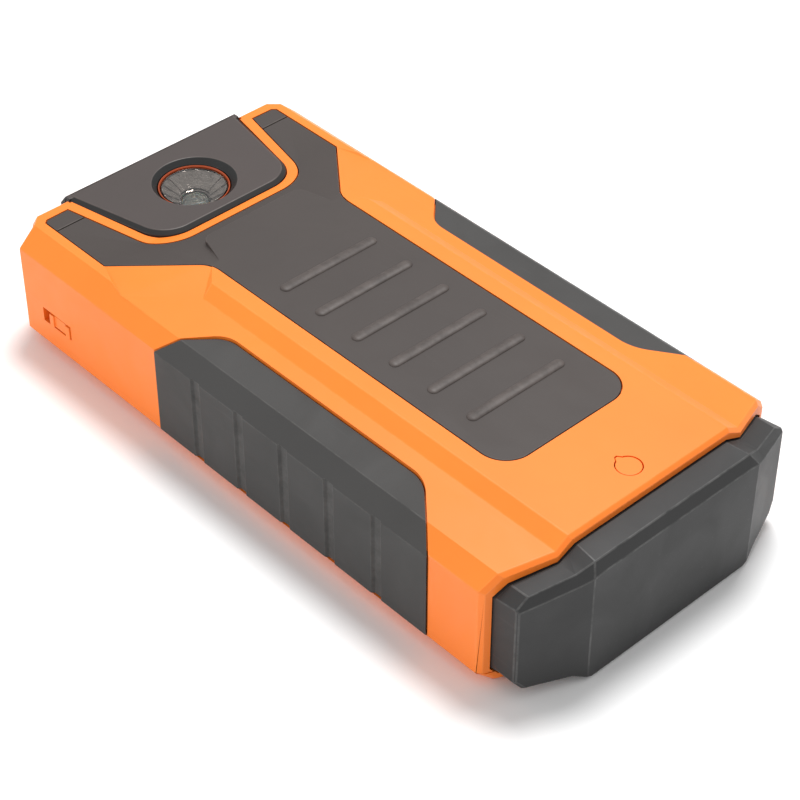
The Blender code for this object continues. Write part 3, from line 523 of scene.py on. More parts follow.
def ramp_slab(name, thick, above):
    top = [(-95, FRAME_TOP + above), (RAMP_START[0], FRAME_TOP + above), (RAMP_END[0], PLATEAU + above),
           (75, PLATEAU + above)]
    low = [(75, PLATEAU - thick), (RAMP_END[0], PLATEAU - thick), (RAMP_START[0], FRAME_TOP - thick),
           (-95, FRAME_TOP - thick)]
    return prism(name, top + low, "Y", -45, 45)


def panel_blank(name, thick, above, grow=0.0):
    """The panel's outline as a slab that follows the ramp."""
    outline = grown(panel_outline(), grow) if grow else panel_outline()
    return keep_inside(prism(name, outline, "Z", 25.0, 45.0), ramp_slab(name + "_slab", thick, above))


def grip_blank(name, side, grow, start, end):
    """A grip's section run along X, within the grip's outline from above."""
    return keep_inside(prism(name, grip_section(side, grow), "X", start, end),
                       prism(name + "_plan", grip_outline(side, grow), "Z", -2, 45))


# ------------------------------------------------------------------ node helpers
ORIGIN = (0, 0, 0)
SOCKET_KINDS = {int: "Int", float: "Float", 3: "Vector", 4: "Color", type(None): "Material"}


def add_inputs(tree, inputs):
    """Makes a named input for each value, of the value's kind, and gives the sockets' identifiers."""
    keys = {}
    for label, value in inputs.items():
        kind = SOCKET_KINDS[len(value) if isinstance(value, tuple) else type(value)]
        socket = tree.interface.new_socket(label, in_out="INPUT", socket_type="NodeSocket" + kind)
        if value is not None:
            socket.default_value = value
        keys[label] = socket.identifier
    return keys


def give(tree, node, values):
    """Links the sockets among the values to the node's inputs, and sets the rest."""
    for key, value in dict(values).items():
        if isinstance(value, bpy.types.NodeSocket):
            tree.links.new(value, node.inputs[key])
        else:
            node.inputs[key].default_value = value
    return node


def put(tree, kind, values=(), **settings):
    made = tree.nodes.new(kind)
    for key, value in settings.items():
        setattr(made, key, value)
    return give(tree, made, values)


def reckon(tree, operation, a, b=0.0):
    return put(tree, "ShaderNodeMath", {0: a, 1: b}, operation=operation).outputs[0]


class Tree:
    """A geometry node tree with named inputs, which ends in Realize Instances and Set Material."""

    def __init__(self, name, sizes):
        self.tree = bpy.data.node_groups.new(name, "GeometryNodeTree")
        self.tree.interface.new_socket("Geometry", in_out="OUTPUT", socket_type="NodeSocketGeometry")
        self.keys = add_inputs(self.tree, sizes)
        self.inputs = self.tree.nodes.new("NodeGroupInput").outputs

    def add(self, kind, values=(), **settings):
        return put(self.tree, kind, values, **settings)

    def math(self, operation, a, b=0.0):
        return reckon(self.tree, operation, a, b)

    def times(self, a, b):
        return self.math("MULTIPLY", a, b)

    def vector(self, x=0.0, y=0.0, z=0.0):
        return self.add("ShaderNodeCombineXYZ", {"X": x, "Y": y, "Z": z}).outputs[0]

    def place(self):
        position = self.add("GeometryNodeInputPosition").outputs[0]
        return self.add("ShaderNodeSeparateXYZ", {0: position}).outputs

    def repeat(self, shape, start, step, **placing):
        """Ends the tree with Count copies of a shape in a row, as one mesh with one material."""
        line = self.add("GeometryNodeMeshLine", {"Count": self.inputs["Count"], "Start Location": start,
                                                 "Offset": step}, mode="OFFSET")
        copies = self.add("GeometryNodeInstanceOnPoints", {"Points": line.outputs[0], "Instance": shape,
                                                           **placing})
        realized = self.add("GeometryNodeRealizeInstances", {"Geometry": copies.outputs[0]})
        painted = self.add("GeometryNodeSetMaterial", {"Geometry": realized.outputs[0],
                                                       "Material": self.inputs["Finish"]})
        self.add("NodeGroupOutput", {0: painted.outputs[0]})
        return self

    def make(self, name, values):
        """Makes a plain mesh object from the tree with these inputs."""
        obj = linked(name, bpy.data.meshes.new(name))
        modifier = obj.modifiers.new("Shape", "NODES")
        modifier.node_group = self.tree
        for label, value in values.items():
            modifier[self.keys[label]] = value
        return settle(obj)


def rib_tree():
    """A row of round-ended ribs, each a flattened ball drawn out along Y."""
    tree = Tree("panel_ribs", {"Count": 6, "Pitch": 0.0125, "Width": 0.003, "Half Length": 0.013,
                               "Height": 0.0006, "Start": ORIGIN, "Finish": None})
    size = tree.inputs
    radius = tree.times(size["Width"], 0.5)
    ball = tree.add("GeometryNodeMeshUVSphere", {"Segments": 32, "Rings": 16, "Radius": radius})
    reach = tree.times(tree.math("SIGN", tree.place()["Y"]), size["Half Length"])
    drawn = tree.add("GeometryNodeSetPosition", {"Geometry": ball.outputs["Mesh"],
                                                 "Offset": tree.vector(y=reach)})
    flatness = tree.math("DIVIDE", size["Height"], radius)
    flat = tree.add("GeometryNodeTransform", {"Geometry": drawn.outputs[0],
                                              "Scale": tree.vector(1.0, 1.0, flatness)})
    return tree.repeat(flat.outputs[0], size["Start"], tree.vector(x=size["Pitch"]))


def groove_tree():
    """A row of upright groove cutters, wider towards +Y where Slope is positive and towards -Y where not."""
    tree = Tree("grip_grooves", {"Count": 5, "Pitch": 0.0153, "Width": 0.0037, "Depth": 0.0026,
                                 "Height": 0.03, "Slope": 0.0012, "Start": ORIGIN, "Finish": None})
    size = tree.inputs
    block_size = tree.vector(size["Width"], size["Depth"], size["Height"])
    cutter = tree.add("GeometryNodeMeshCube", {"Size": block_size})
    place = tree.place()
    outer = tree.times(tree.math("SIGN", place["Y"]), 0.5)
    opening = tree.times(outer, tree.times(tree.math("SIGN", place["X"]), size["Slope"]))
    flared = tree.add("GeometryNodeSetPosition", {"Geometry": cutter.outputs["Mesh"],
                                                  "Offset": tree.vector(x=opening)})
    return tree.repeat(flared.outputs[0], size["Start"], tree.vector(x=size["Pitch"]))


def petal_tree():
    """A ring of tapered petals about a vertical axis, each tilted up towards its outer end."""
    tree = Tree("reflector_petals", {"Count": 18, "Inner Radius": 0.0039, "Outer Radius": 0.0082,
                                     "Rise": 0.0023, "Thickness": 0.0003, "Centre": ORIGIN, "Finish": None})
    size = tree.inputs
    step = tree.math("DIVIDE", math.tau, size["Count"])
    spread = tree.math("TANGENT", tree.times(step, 0.5))
    reach = tree.math("SUBTRACT", size["Outer Radius"], size["Inner Radius"])
    middle = tree.times(tree.math("ADD", size["Outer Radius"], size["Inner Radius"]), 0.5)
    width = tree.times(tree.times(middle, spread), 2.02)
    blank = tree.add("GeometryNodeMeshCube", {"Size": tree.vector(reach, width, size["Thickness"]),
                                              "Vertices X": 2, "Vertices Y": 7, "Vertices Z": 2})
    place = tree.place()
    out = tree.math("ADD", place["X"], middle)
    across = tree.math("DIVIDE", place["Y"], tree.times(width, 0.5))
    hollow = tree.times(tree.times(across, across), size["Thickness"])
    climb = tree.times(tree.math("DIVIDE", place["X"], reach), size["Rise"])
    lift = tree.math("ADD", place["Z"], tree.math("SUBTRACT", climb, hollow))
    tapered = tree.add("GeometryNodeSetPosition", {
        "Geometry": blank.outputs["Mesh"],
        "Position": tree.vector(out, tree.times(place["Y"], tree.math("DIVIDE", out, middle)), lift)})
    turn = tree.vector(z=tree.times(tree.add("GeometryNodeInputIndex").outputs[0], step))
    return tree.repeat(tapered.outputs[0], size["Centre"], ORIGIN, Rotation=turn)


def blade_tree():
    """A row of small flat contact blades, spaced along Y."""
    tree = Tree("contact_blades", {"Count": 4, "Pitch": 0.0025, "Size": (0.006, 0.001, 0.0002),
                                   "Start": ORIGIN, "Finish": None})
    size = tree.inputs
    blade = tree.add("GeometryNodeMeshCube", {"Size": size["Size"]})
    return tree.repeat(blade.outputs[0], size["Start"], tree.vector(y=size["Pitch"]))


# ------------------------------------------------------------------ shader groups
def tone(red, green, blue):
    """A colour from its display values, 0 to 255."""
    levels = []
    for value in (red, green, blue):
        level = value / 255
        levels.append(level / 12.92 if level <= 0.04045 else ((level + 0.055) / 1.055) ** 2.4)
    return (*levels, 1.0)


def group(name, inputs, outputs):
    tree = bpy.data.node_groups.new(name, "ShaderNodeTree")
    add_inputs(tree, inputs)
    for label in outputs:
        kind = "NodeSocketColor" if label == "Color" else "NodeSocketFloat"
        tree.interface.new_socket(label, in_out="OUTPUT", socket_type=kind)
    return tree, tree.nodes.new("NodeGroupInput").outputs, tree.nodes.new("NodeGroupOutput")


def ramp(tree, value, low, high, start=0.0, end=1.0):
    return put(tree, "ShaderNodeMapRange", {"Value": value, "From Min": low, "From Max": high,
                                            "To Min": start, "To Max": end}).outputs[0]


def share(tree, value, amount):
    return ramp(tree, value, 0.0, 1.0, 0.0, amount)


def mixed(tree, factor, a, b):
    """Colour a where the factor is 0, and b where it is 1."""
    return put(tree, "ShaderNodeMix", {"Factor": factor, 6: a, 7: b}, data_type="RGBA").outputs[2]


def noise(tree, place, scale, detail=2.0, roughness=0.5, distortion=0.0):
    return put(tree, "ShaderNodeTexNoise", {"Vector": place, "Scale": scale, "Detail": detail,
                                            "Roughness": roughness, "Distortion": distortion}).outputs[0]


def bumped(tree, height, strength, depth):
    return put(tree, "ShaderNodeBump", {"Height": height, "Strength": strength, "Distance": depth}).outputs[0]


def moulded_grain():
    """Fine spark-eroded grain of a moulded face: a height, and a speckle for colour."""
    tree, given, out = group("moulded_grain", {"Vector": ORIGIN, "Scale": 4000.0, "Pebble": 0.5},
                             ["Height", "Speckle"])
    fine = noise(tree, given["Vector"], given["Scale"], 3.0, 0.6)
    cell = put(tree, "ShaderNodeTexVoronoi", {"Vector": given["Vector"], "Scale": given["Scale"]},
               feature="SMOOTH_F1")
    blend = put(tree, "ShaderNodeMix", {"Factor": given["Pebble"], 2: fine, 3: cell.outputs["Distance"]})
    give(tree, out, {"Height": blend.outputs[0], "Speckle": ramp(tree, fine, 0.3, 0.7)})
    return tree


def tone_drift():
    """Slow change of colour over a face, from batch marks and light."""
    tree, given, out = group("tone_drift", {"Vector": ORIGIN, "Colour": (1, 1, 1, 1),
                                            "Darker": (0.8, 0.8, 0.8, 1), "Scale": 28.0, "Amount": 0.5},
                             ["Color"])
    wide = noise(tree, given["Vector"], given["Scale"], 4.0, 0.55)
    factor = reckon(tree, "MULTIPLY", ramp(tree, wide, 0.35, 0.75), given["Amount"])
    give(tree, out, {"Color": mixed(tree, factor, given["Colour"], given["Darker"])})
    return tree


def edge_rub_and_highlight():
    """Where a rounded edge has been rubbed, and where a highlight is painted along it: the stored edge faces,
    broken up by noise.
    """
    tree, given, out = group("edge_rub_and_highlight", {"Vector": ORIGIN, "Scale": 260.0, "Amount": 0.6}, ["Mask"])
    edge = put(tree, "ShaderNodeAttribute", attribute_name="edge_wear_and_highlight", attribute_type="GEOMETRY")
    patches = noise(tree, given["Vector"], given["Scale"], 5.0, 0.7)
    worn_and_highlit = reckon(tree, "MULTIPLY", edge.outputs["Fac"], ramp(tree, patches, 0.3, 0.62))
    give(tree, out, {"Mask": reckon(tree, "MULTIPLY", worn_and_highlit, given["Amount"])})
    return tree


def handling_marks():
    """Faint smears and hairlines from hands and pockets, for roughness."""
    tree, given, out = group("handling_marks", {"Vector": ORIGIN, "Low": 0.4, "High": 0.55},
                             ["Roughness", "Lines"])
    smear = noise(tree, given["Vector"], 55.0, 6.0, distortion=1.2)
    stretched = put(tree, "ShaderNodeMapping", {"Vector": given["Vector"], "Rotation": (0.3, 0.2, 0.6),
                                                "Scale": (40.0, 900.0, 900.0)}).outputs[0]
    give(tree, out, {"Roughness": ramp(tree, smear, 0.3, 0.7, given["Low"], given["High"]),
                     "Lines": ramp(tree, noise(tree, stretched, 1.0), 0.66, 0.74)})
    return tree


def drawn_lines():
    """Fine lines along one axis, as on rolled or brushed metal."""
    tree, given, out = group("drawn_lines", {"Vector": ORIGIN, "Stretch": (60.0, 3000.0, 3000.0)},
                             ["Height", "Mask"])
    stretched = put(tree, "ShaderNodeVectorMath", {0: given["Vector"], 1: given["Stretch"]},
                    operation="MULTIPLY").outputs[0]
    lines = noise(tree, stretched, 1.0, 3.0)
    give(tree, out, {"Height": lines, "Mask": ramp(tree, lines, 0.35, 0.65)})
    return tree


def copper_tracks():
    """Circuit tracks under lacquer: offset brick courses, with round pads."""
    tree, given, out = group("copper_tracks", {"Vector": ORIGIN, "Scale": 420.0}, ["Tracks", "Pads"])
    spread = {"Vector": given["Vector"], "Scale": given["Scale"]}
    brick = put(tree, "ShaderNodeTexBrick", {**spread, "Mortar Size": 0.06, "Mortar Smooth": 0.2,
                                             "Color1": (0, 0, 0, 1), "Color2": (0.1, 0.1, 0.1, 1),
                                             "Mortar": (1, 1, 1, 1)})
    cells = put(tree, "ShaderNodeTexVoronoi", {**spread, "Randomness": 0.6})
    give(tree, out, {"Tracks": ramp(tree, brick.outputs["Fac"], 0.3, 0.6),
                     "Pads": ramp(tree, cells.outputs["Distance"], 0.22, 0.16)})
    return tree


GRAIN_DEPTH = 0.00006
LINE_DEPTH = 0.00002
RIPPLE_DEPTH = 0.00005
GRAIN = moulded_grain()
DRIFT = tone_drift()
RUB_AND_HIGHLIGHT = edge_rub_and_highlight()
MARKS = handling_marks()
LINES = drawn_lines()
TRACKS = copper_tracks()


def place_group(tree, which, place, **values):
    return put(tree, "ShaderNodeGroup", {"Vector": place, **values}, node_tree=which).outputs


def blank_material(name, **settings):
    made = bpy.data.materials.new(name)
    made.use_nodes = True
    tree = made.node_tree
    shader = tree.nodes["Principled BSDF"]
    for label, value in settings.items():
        shader.inputs[label.replace("_", " ")].default_value = value
    place = put(tree, "ShaderNodeTexCoord").outputs["Object"]
    return made, tree, shader, place


def moulding(name, colour, darker, worn_and_highlit, grain, bump, low, high, rub_and_highlight=0.5, **settings):
    """Moulded plastic or rubber: drifting colour, rubbed edges lightened both as wear and as a painted
    highlight, grain in the bump, marks in the roughness.
    """
    made, tree, shader, place = blank_material(name, **settings)
    base = place_group(tree, DRIFT, place, Colour=tone(*colour), Darker=tone(*darker))
    edge = place_group(tree, RUB_AND_HIGHLIGHT, place, Amount=rub_and_highlight)
    marks = place_group(tree, MARKS, place, Low=low, High=high)
    texture = place_group(tree, GRAIN, place, Scale=grain)
    speckled = mixed(tree, share(tree, texture["Speckle"], 0.10), base["Color"], tone(*darker))
    rough = reckon(tree, "ADD", marks["Roughness"], share(tree, edge["Mask"], -0.12))
    lined = reckon(tree, "ADD", rough, share(tree, marks["Lines"], -0.06))
    # The lighter edge colour is wear and also a painted highlight on the rounded edges.
    give(tree, shader, {"Base Color": mixed(tree, edge["Mask"], speckled, tone(*worn_and_highlit)), "Roughness": lined,
                        "Normal": bumped(tree, texture["Height"], bump, GRAIN_DEPTH)})
    return made


def metal(name, colour, darker, low, high, stretch, bump=0.2):
    """Bare or plated metal with fine lines and darker hollows."""
    made, tree, shader, place = blank_material(name, Metallic=1.0)
    lines = place_group(tree, LINES, place, Stretch=stretch)
    base = place_group(tree, DRIFT, place, Colour=tone(*colour), Darker=tone(*darker), Scale=60.0)
    marks = place_group(tree, MARKS, place, Low=low, High=high)
    hollow = share(tree, lines["Mask"], 0.35)
    give(tree, shader, {"Base Color": mixed(tree, hollow, base["Color"], tone(*darker)),
                        "Roughness": marks["Roughness"],
                        "Normal": bumped(tree, lines["Height"], bump, LINE_DEPTH)})
    return made


def glass(name, colour, darker, low, high, **settings):
    """Clear or milky plastic: a little colour drift and fine handling haze."""
    made, tree, shader, place = blank_material(name, **settings)
    base = place_group(tree, DRIFT, place, Colour=tone(*colour), Darker=tone(*darker), Scale=90.0)
    marks = place_group(tree, MARKS, place, Low=low, High=high)
    give(tree, shader, {"Base Color": base["Color"], "Roughness": marks["Roughness"],
                        "Normal": bumped(tree, noise(tree, place, 300.0), 0.05, RIPPLE_DEPTH)})
    return made


def circuit_board(name):
    """Green lacquered board with copper tracks showing through and plated pads."""
    made, tree, shader, place = blank_material(name, Coat_Weight=0.5, Coat_Roughness=0.2)
    lacquer = place_group(tree, DRIFT, place, Colour=tone(24, 98, 58), Darker=tone(14, 66, 40))
    pattern = place_group(tree, TRACKS, place)
    marks = place_group(tree, MARKS, place, Low=0.35, High=0.5)
    tracked = mixed(tree, share(tree, pattern["Tracks"], 0.6), lacquer["Color"], tone(58, 140, 84))
    give(tree, shader, {"Base Color": mixed(tree, pattern["Pads"], tracked, tone(214, 196, 140)),
                        "Roughness": marks["Roughness"],
                        "Metallic": share(tree, pattern["Pads"], 0.9),
                        "Normal": bumped(tree, pattern["Tracks"], 0.4, RIPPLE_DEPTH)})
    return made


# Each moulding's third colour is its edge colour: lighter than the base, as wear and as a painted highlight.
ORANGE = moulding("orange_shell", (255, 133, 42), (254, 122, 34), (255, 160, 88), 5200.0, 0.12,
                  0.4, 0.52, rub_and_highlight=0.2, Specular_IOR_Level=0.4)
PANEL = moulding("dark_panel", (65, 58, 55), (58, 52, 50), (98, 89, 85), 4200.0, 0.25, 0.5, 0.62,
                 rub_and_highlight=0.5, Specular_IOR_Level=0.4)
LAMP_FRAME = moulding("lamp_frame", (72, 64, 62), (63, 57, 55), (96, 88, 84), 4200.0, 0.22, 0.44,
                      0.56, rub_and_highlight=0.45, Specular_IOR_Level=0.4)
# Steep faces of the lamp frame: a darker colour, as painted shade on its walls and recess.
LAMP_WALL_SHADE = moulding("lamp_wall_painted_shade", (40, 41, 41), (34, 35, 35), (70, 70, 69), 4200.0, 0.2, 0.42,
                     0.54, rub_and_highlight=0.3, Specular_IOR_Level=0.35)
BEZEL = moulding("bezel_ring", (170, 70, 26), (140, 54, 18), (190, 100, 56), 5200.0, 0.1, 0.3, 0.4)
GRIP = moulding("grip_rubber", (66, 65, 64), (58, 57, 56), (92, 90, 88), 3400.0, 0.4, 0.6, 0.74,
                rub_and_highlight=0.5, Specular_IOR_Level=0.35)
CAP = moulding("cap_plastic", (48, 48, 48), (42, 42, 42), (94, 93, 92), 4600.0, 0.25, 0.48, 0.6,
               rub_and_highlight=0.6, Specular_IOR_Level=0.4)
RUBBER = moulding("foot_rubber", (44, 44, 44), (34, 34, 34), (82, 80, 78), 3000.0, 0.7, 0.7, 0.85)
BLACK = moulding("black_moulding", (34, 34, 35), (24, 24, 25), (70, 70, 70), 4800.0, 0.35, 0.4, 0.55)
BLUE = moulding("blue_socket_moulding", (38, 88, 176), (28, 68, 148), (96, 138, 206), 5000.0, 0.25,
                0.34, 0.46)
FOAM = moulding("closed_cell_foam", (66, 68, 76), (48, 50, 58), (80, 82, 90), 1500.0, 1.0, 0.85, 0.95)
POUCH = metal("pouch_foil", (196, 198, 202), (158, 160, 166), 0.26, 0.42, (220.0, 240.0, 600.0), 0.5)
RED_LEAD = moulding("red_silicone", (196, 30, 26), (160, 20, 18), (220, 80, 70), 3600.0, 0.2, 0.4, 0.5)
BLACK_LEAD = moulding("black_silicone", (40, 40, 42), (28, 28, 30), (74, 74, 76), 3600.0, 0.2, 0.4,
                      0.5)
STEEL = metal("plated_steel", (196, 197, 200), (150, 151, 156), 0.22, 0.36, (60.0, 2600.0, 2600.0))
ALUMINIUM = metal("aluminium", (208, 210, 213), (168, 170, 175), 0.3, 0.44, (2600.0, 60.0, 2600.0))
COPPER = metal("copper_strip", (214, 142, 104), (164, 96, 66), 0.28, 0.42, (2400.0, 2400.0, 80.0))
BRASS = metal("brass_contact", (222, 188, 112), (176, 138, 70), 0.22, 0.36, (90.0, 2400.0, 2400.0))
MIRROR = metal("reflector_metal", (150, 141, 134), (84, 76, 70), 0.05, 0.14, (400.0, 400.0, 900.0),
               0.05)
LENS = glass("lens_clear", (250, 250, 250), (238, 238, 236), 0.0, 0.03, Transmission_Weight=1.0, IOR=1.46)
LIGHT_PIPE = glass("light_pipe", (236, 238, 240), (214, 218, 222), 0.2, 0.32, Transmission_Weight=0.4,
                   IOR=1.49, Subsurface_Weight=0.2)
PHOSPHOR = glass("led_phosphor", (118, 112, 102), (84, 78, 68), 0.3, 0.42, Subsurface_Weight=0.3)
BOARD = circuit_board("circuit_board")


# ------------------------------------------------------------------ casing
def casing_solid(name):
    """The whole outside of the casing, without any hole; its faces are marked by their slot."""
    base = [(SWEEP_START, FLOOR), FOOT, SILL, SIDE]

    def walls(x):
        return [(x, *point) for point in base]

    end_face = [(LAMP_END, 26.0, SPLIT), (LAMP_END, 35.3, SPLIT), (LAMP_END, 36.3, SPLIT + 1),
                (LAMP_END, 36.3, SIDE_TOP - 1), (LAMP_END, 36.0, SIDE_TOP), (LAMP_END, 30.0, SIDE_TOP),
                (LAMP_END, 25.0, SIDE_TOP)]
    end_top = -87.0
    lamp = [(-87.7, 26.0, FLOOR), (CORNER_X, 38.0, FLOOR), (CORNER_X, *SILL), (CORNER_X, *SIDE),
            (CORNER_X, 39.4, FRAME_TOP), (end_top, 36.8, FRAME_TOP), (end_top, 30.0, FRAME_TOP)]
    start, middle, end = FACETS
    facet_start = walls(start) + [(-54.0, 39.4, FRAME_TOP), (-54.4, 39.2, FRAME_TOP),
                                  (*RAMP_START, FRAME_TOP)]
    facet_middle = walls(middle) + [(middle, *SHOULDER), (-49.4, 40.2, 32.15), (*RAMP_END, PLATEAU)]
    facet_end = walls(end) + [(end, *SHOULDER), (end, *STRIP), (-33.9, *CROWN)]
    bevel_back = swept(base + [SHOULDER, STRIP, CROWN], -END_BEVEL)
    inner = [(SWEEP_START, FLOOR + 0.9), (FOOT[0] - 0.4, FLOOR + 0.9), (HALF_WIDTH - 0.9, SPLIT + 0.4),
             (HALF_WIDTH - 0.9, SIDE_TOP - 0.4), (SHOULDER[0] - 0.4, SHOULDER[1] - 0.9),
             (STRIP[0], STRIP[1] - 0.9), (CROWN[0] - 0.3, CROWN[1] - 0.9)]
    halves = (end_face, lamp, facet_start, facet_middle, facet_end, bevel_back, swept(inner, 0.0))
    solid = loft(name, [ring_both_sides(half) for half in halves], end_faces=end_patches(7))
    solid.data.materials.append(None)
    for face in solid.data.polygons:
        face.material_index = OUTSIDE
    return solid


def cavity_solid(name):
    """The hollow inside: a shell wall less than the outside, open at the port end."""
    lid = FRAME_TOP - WALL - 1.0

    def half(x, top, side, crown):
        return [(x, 25.0, OPEN_FLOOR), (x, side - 2.0, OPEN_FLOOR), (x, side, OPEN_FLOOR + 2.0),
                (x, side, OPEN_SIDE[1]), (x, side - 3.2, top), (x, 28.6, min(31.6, top)), (x, 23.7, crown)]

    opening = [(25.0, OPEN_FLOOR), (40.1, OPEN_FLOOR), (42.1, 5.0), OPEN_SIDE, OPEN_SHOULDER, OPEN_STRIP,
               OPEN_CROWN]
    halves = [half(LAMP_END + WALL, 28.0, 37.0, 28.0), half(-84.0, lid - 1.0, 42.1, lid),
              half(-59.0, lid - 1.0, 42.1, lid), half(-36.0, 29.5, 42.1, PLATEAU - 3.7),
              half(PANEL_END, 29.5, 42.1, PLATEAU - 3.7), swept(opening, -16.0), swept(opening, 6.0)]
    return loft(name, [ring_both_sides(points) for points in halves])


def make_casing():
    upper = casing_solid("upper")
    keep_inside(upper, box("upper_half", (-100, -60, SPLIT + GAP / 2), (100, 60, 50)))
    cut(upper, cavity_solid("hollow"))
    posts = [upright("boss", 3.1, place, side, OPEN_FLOOR + GAP, 31.0, 32)
             for place in SCREW_PLACES for side in SIDES]
    posts += [upright("corner_boss", 4.2, CORNER_SCREW, side, 27.5, 31.5, 32) for side in SIDES]
    posts += [rod("button_post", 2.0, (69.5, y, BUTTON_BOARD_TOP + GAP), (69.5, y, 35.0), 24)
              for y in (-20.0, 16.0)]
    join(upper, *posts)
    holes = [panel_blank("panel_bed", PANEL_THICK + GAP, 4.0, GAP),
             prism("lamp_bed", lamp_outline(0.0), "Z", 31.3 - GAP, 45.0),
             prism("skirt_bed", lamp_skirt_outline(GAP), "Y", -LAMP_SKIRT_HALF - GAP,
                   LAMP_SKIRT_HALF + GAP),
             rod("lamp_hole", 11.0, (LAMP_X, 0, 20), (LAMP_X, 0, 40))]
    for side in SIDES:
        holes += [upright("corner_hole", 1.5, CORNER_SCREW, side, 20, 40),
                  upright("corner_seat", 2.8, CORNER_SCREW, side, 29.4, 40, 32)]
        holes.append(grip_blank("grip_bed", side, GAP, -40, 70))
        holes += [upright("pilot", 1.5, place, side, 0, 13.0) for place in SCREW_PLACES]
    holes.append(box("knob_slot", (SLOT_X[0], -50, SLOT_Z[0]), (SLOT_X[1], -40, SLOT_Z[1])))
    holes.append(prism("button_hole", button_outline(0.0), "Z", 32.0, 40.0))
    cut(upper, *holes)
    round_outside(upper, OUTER_ROUND)
    finish_piece(upper, "upper_housing_shell", ORANGE, "housing", "upper_housing")

    bottom = casing_solid("bottom")
    keep_inside(bottom, box("lower_half", (-100, -60, -5), (100, 60, SPLIT - GAP / 2)))
    cut(bottom, cavity_solid("hollow"))
    join(bottom, *[upright("corner_post", 3.0, CORNER_SCREW, side, 1.5, 27.2, 32) for side in SIDES])
    holes = []
    for side in SIDES:
        holes.append(upright("corner_pilot", 1.5, CORNER_SCREW, side, 16.0, 40))
        for place in SCREW_PLACES:
            holes += [upright("head_well", 3.0, place, side, -2, 2.3, 36),
                      upright("screw_hole", 1.5, place, side, -2, 5)]
        holes += [upright("foot_well", FOOT_RADIUS + GAP, place, side, -2, 1.5, 56) for place in FOOT_PLACES]
    cut(bottom, *holes)
    round_outside(bottom, OUTER_ROUND)
    finish_piece(bottom, "bottom_cover_shell", ORANGE, "housing", "bottom_cover")


# ------------------------------------------------------------------ top panel and lamp
def make_top_panel():
    panel = panel_blank("panel", PANEL_THICK, 0.0)
    corners = [(PAD_FRONT, -15.2, 3.0), (-31.0, -20.0, 0), (-31.0, 20.0, 0), (PAD_FRONT, 15.2, 3.0)]
    pad = prism("panel_pad", rounded(corners), "Z", 33.0, PLATEAU)
    keep_inside(pad, ramp_slab("pad_slab", PANEL_THICK - 0.3, 4.0))
    join(panel, pad)
    cut(panel, box("beyond_seam", (-100, -50, 20), (PANEL_SEAM + GAP / 2, 50, 50)))
    round_cut(panel, 0.22, 30)
    finish_piece(panel, "top_panel_plate", PANEL, "panel", "top_panel", crease=6.0)
    ribs = rib_tree().make("ribs", {
        "Count": RIB_COUNT, "Pitch": RIB_PITCH * MM, "Width": RIB_WIDTH * MM, "Height": RIB_HEIGHT * MM,
        "Half Length": (RIB_HALF_LENGTH - RIB_WIDTH / 2) * MM,
        "Start": (RIB_FIRST * MM, 0.0, (PLATEAU - RIB_SINK) * MM), "Finish": PANEL})
    finish_piece(ribs, "top_panel_ribs", PANEL, "panel", crease=60.0)
    for side, word in ((-1, "near"), (1, "far")):
        plug = panel_blank("plug", PANEL_THICK, 0.0)
        keep_inside(plug, box("plug_room", (-100, side * 30 - 20, 20),
                              (PANEL_SEAM - GAP / 2, side * 30 + 20, 50)))
        round_cut(plug, 0.2, 30)
        finish_piece(plug, f"corner_plug_{word}_cover", PANEL, "panel", f"corner_plug_{word}", crease=6.0)


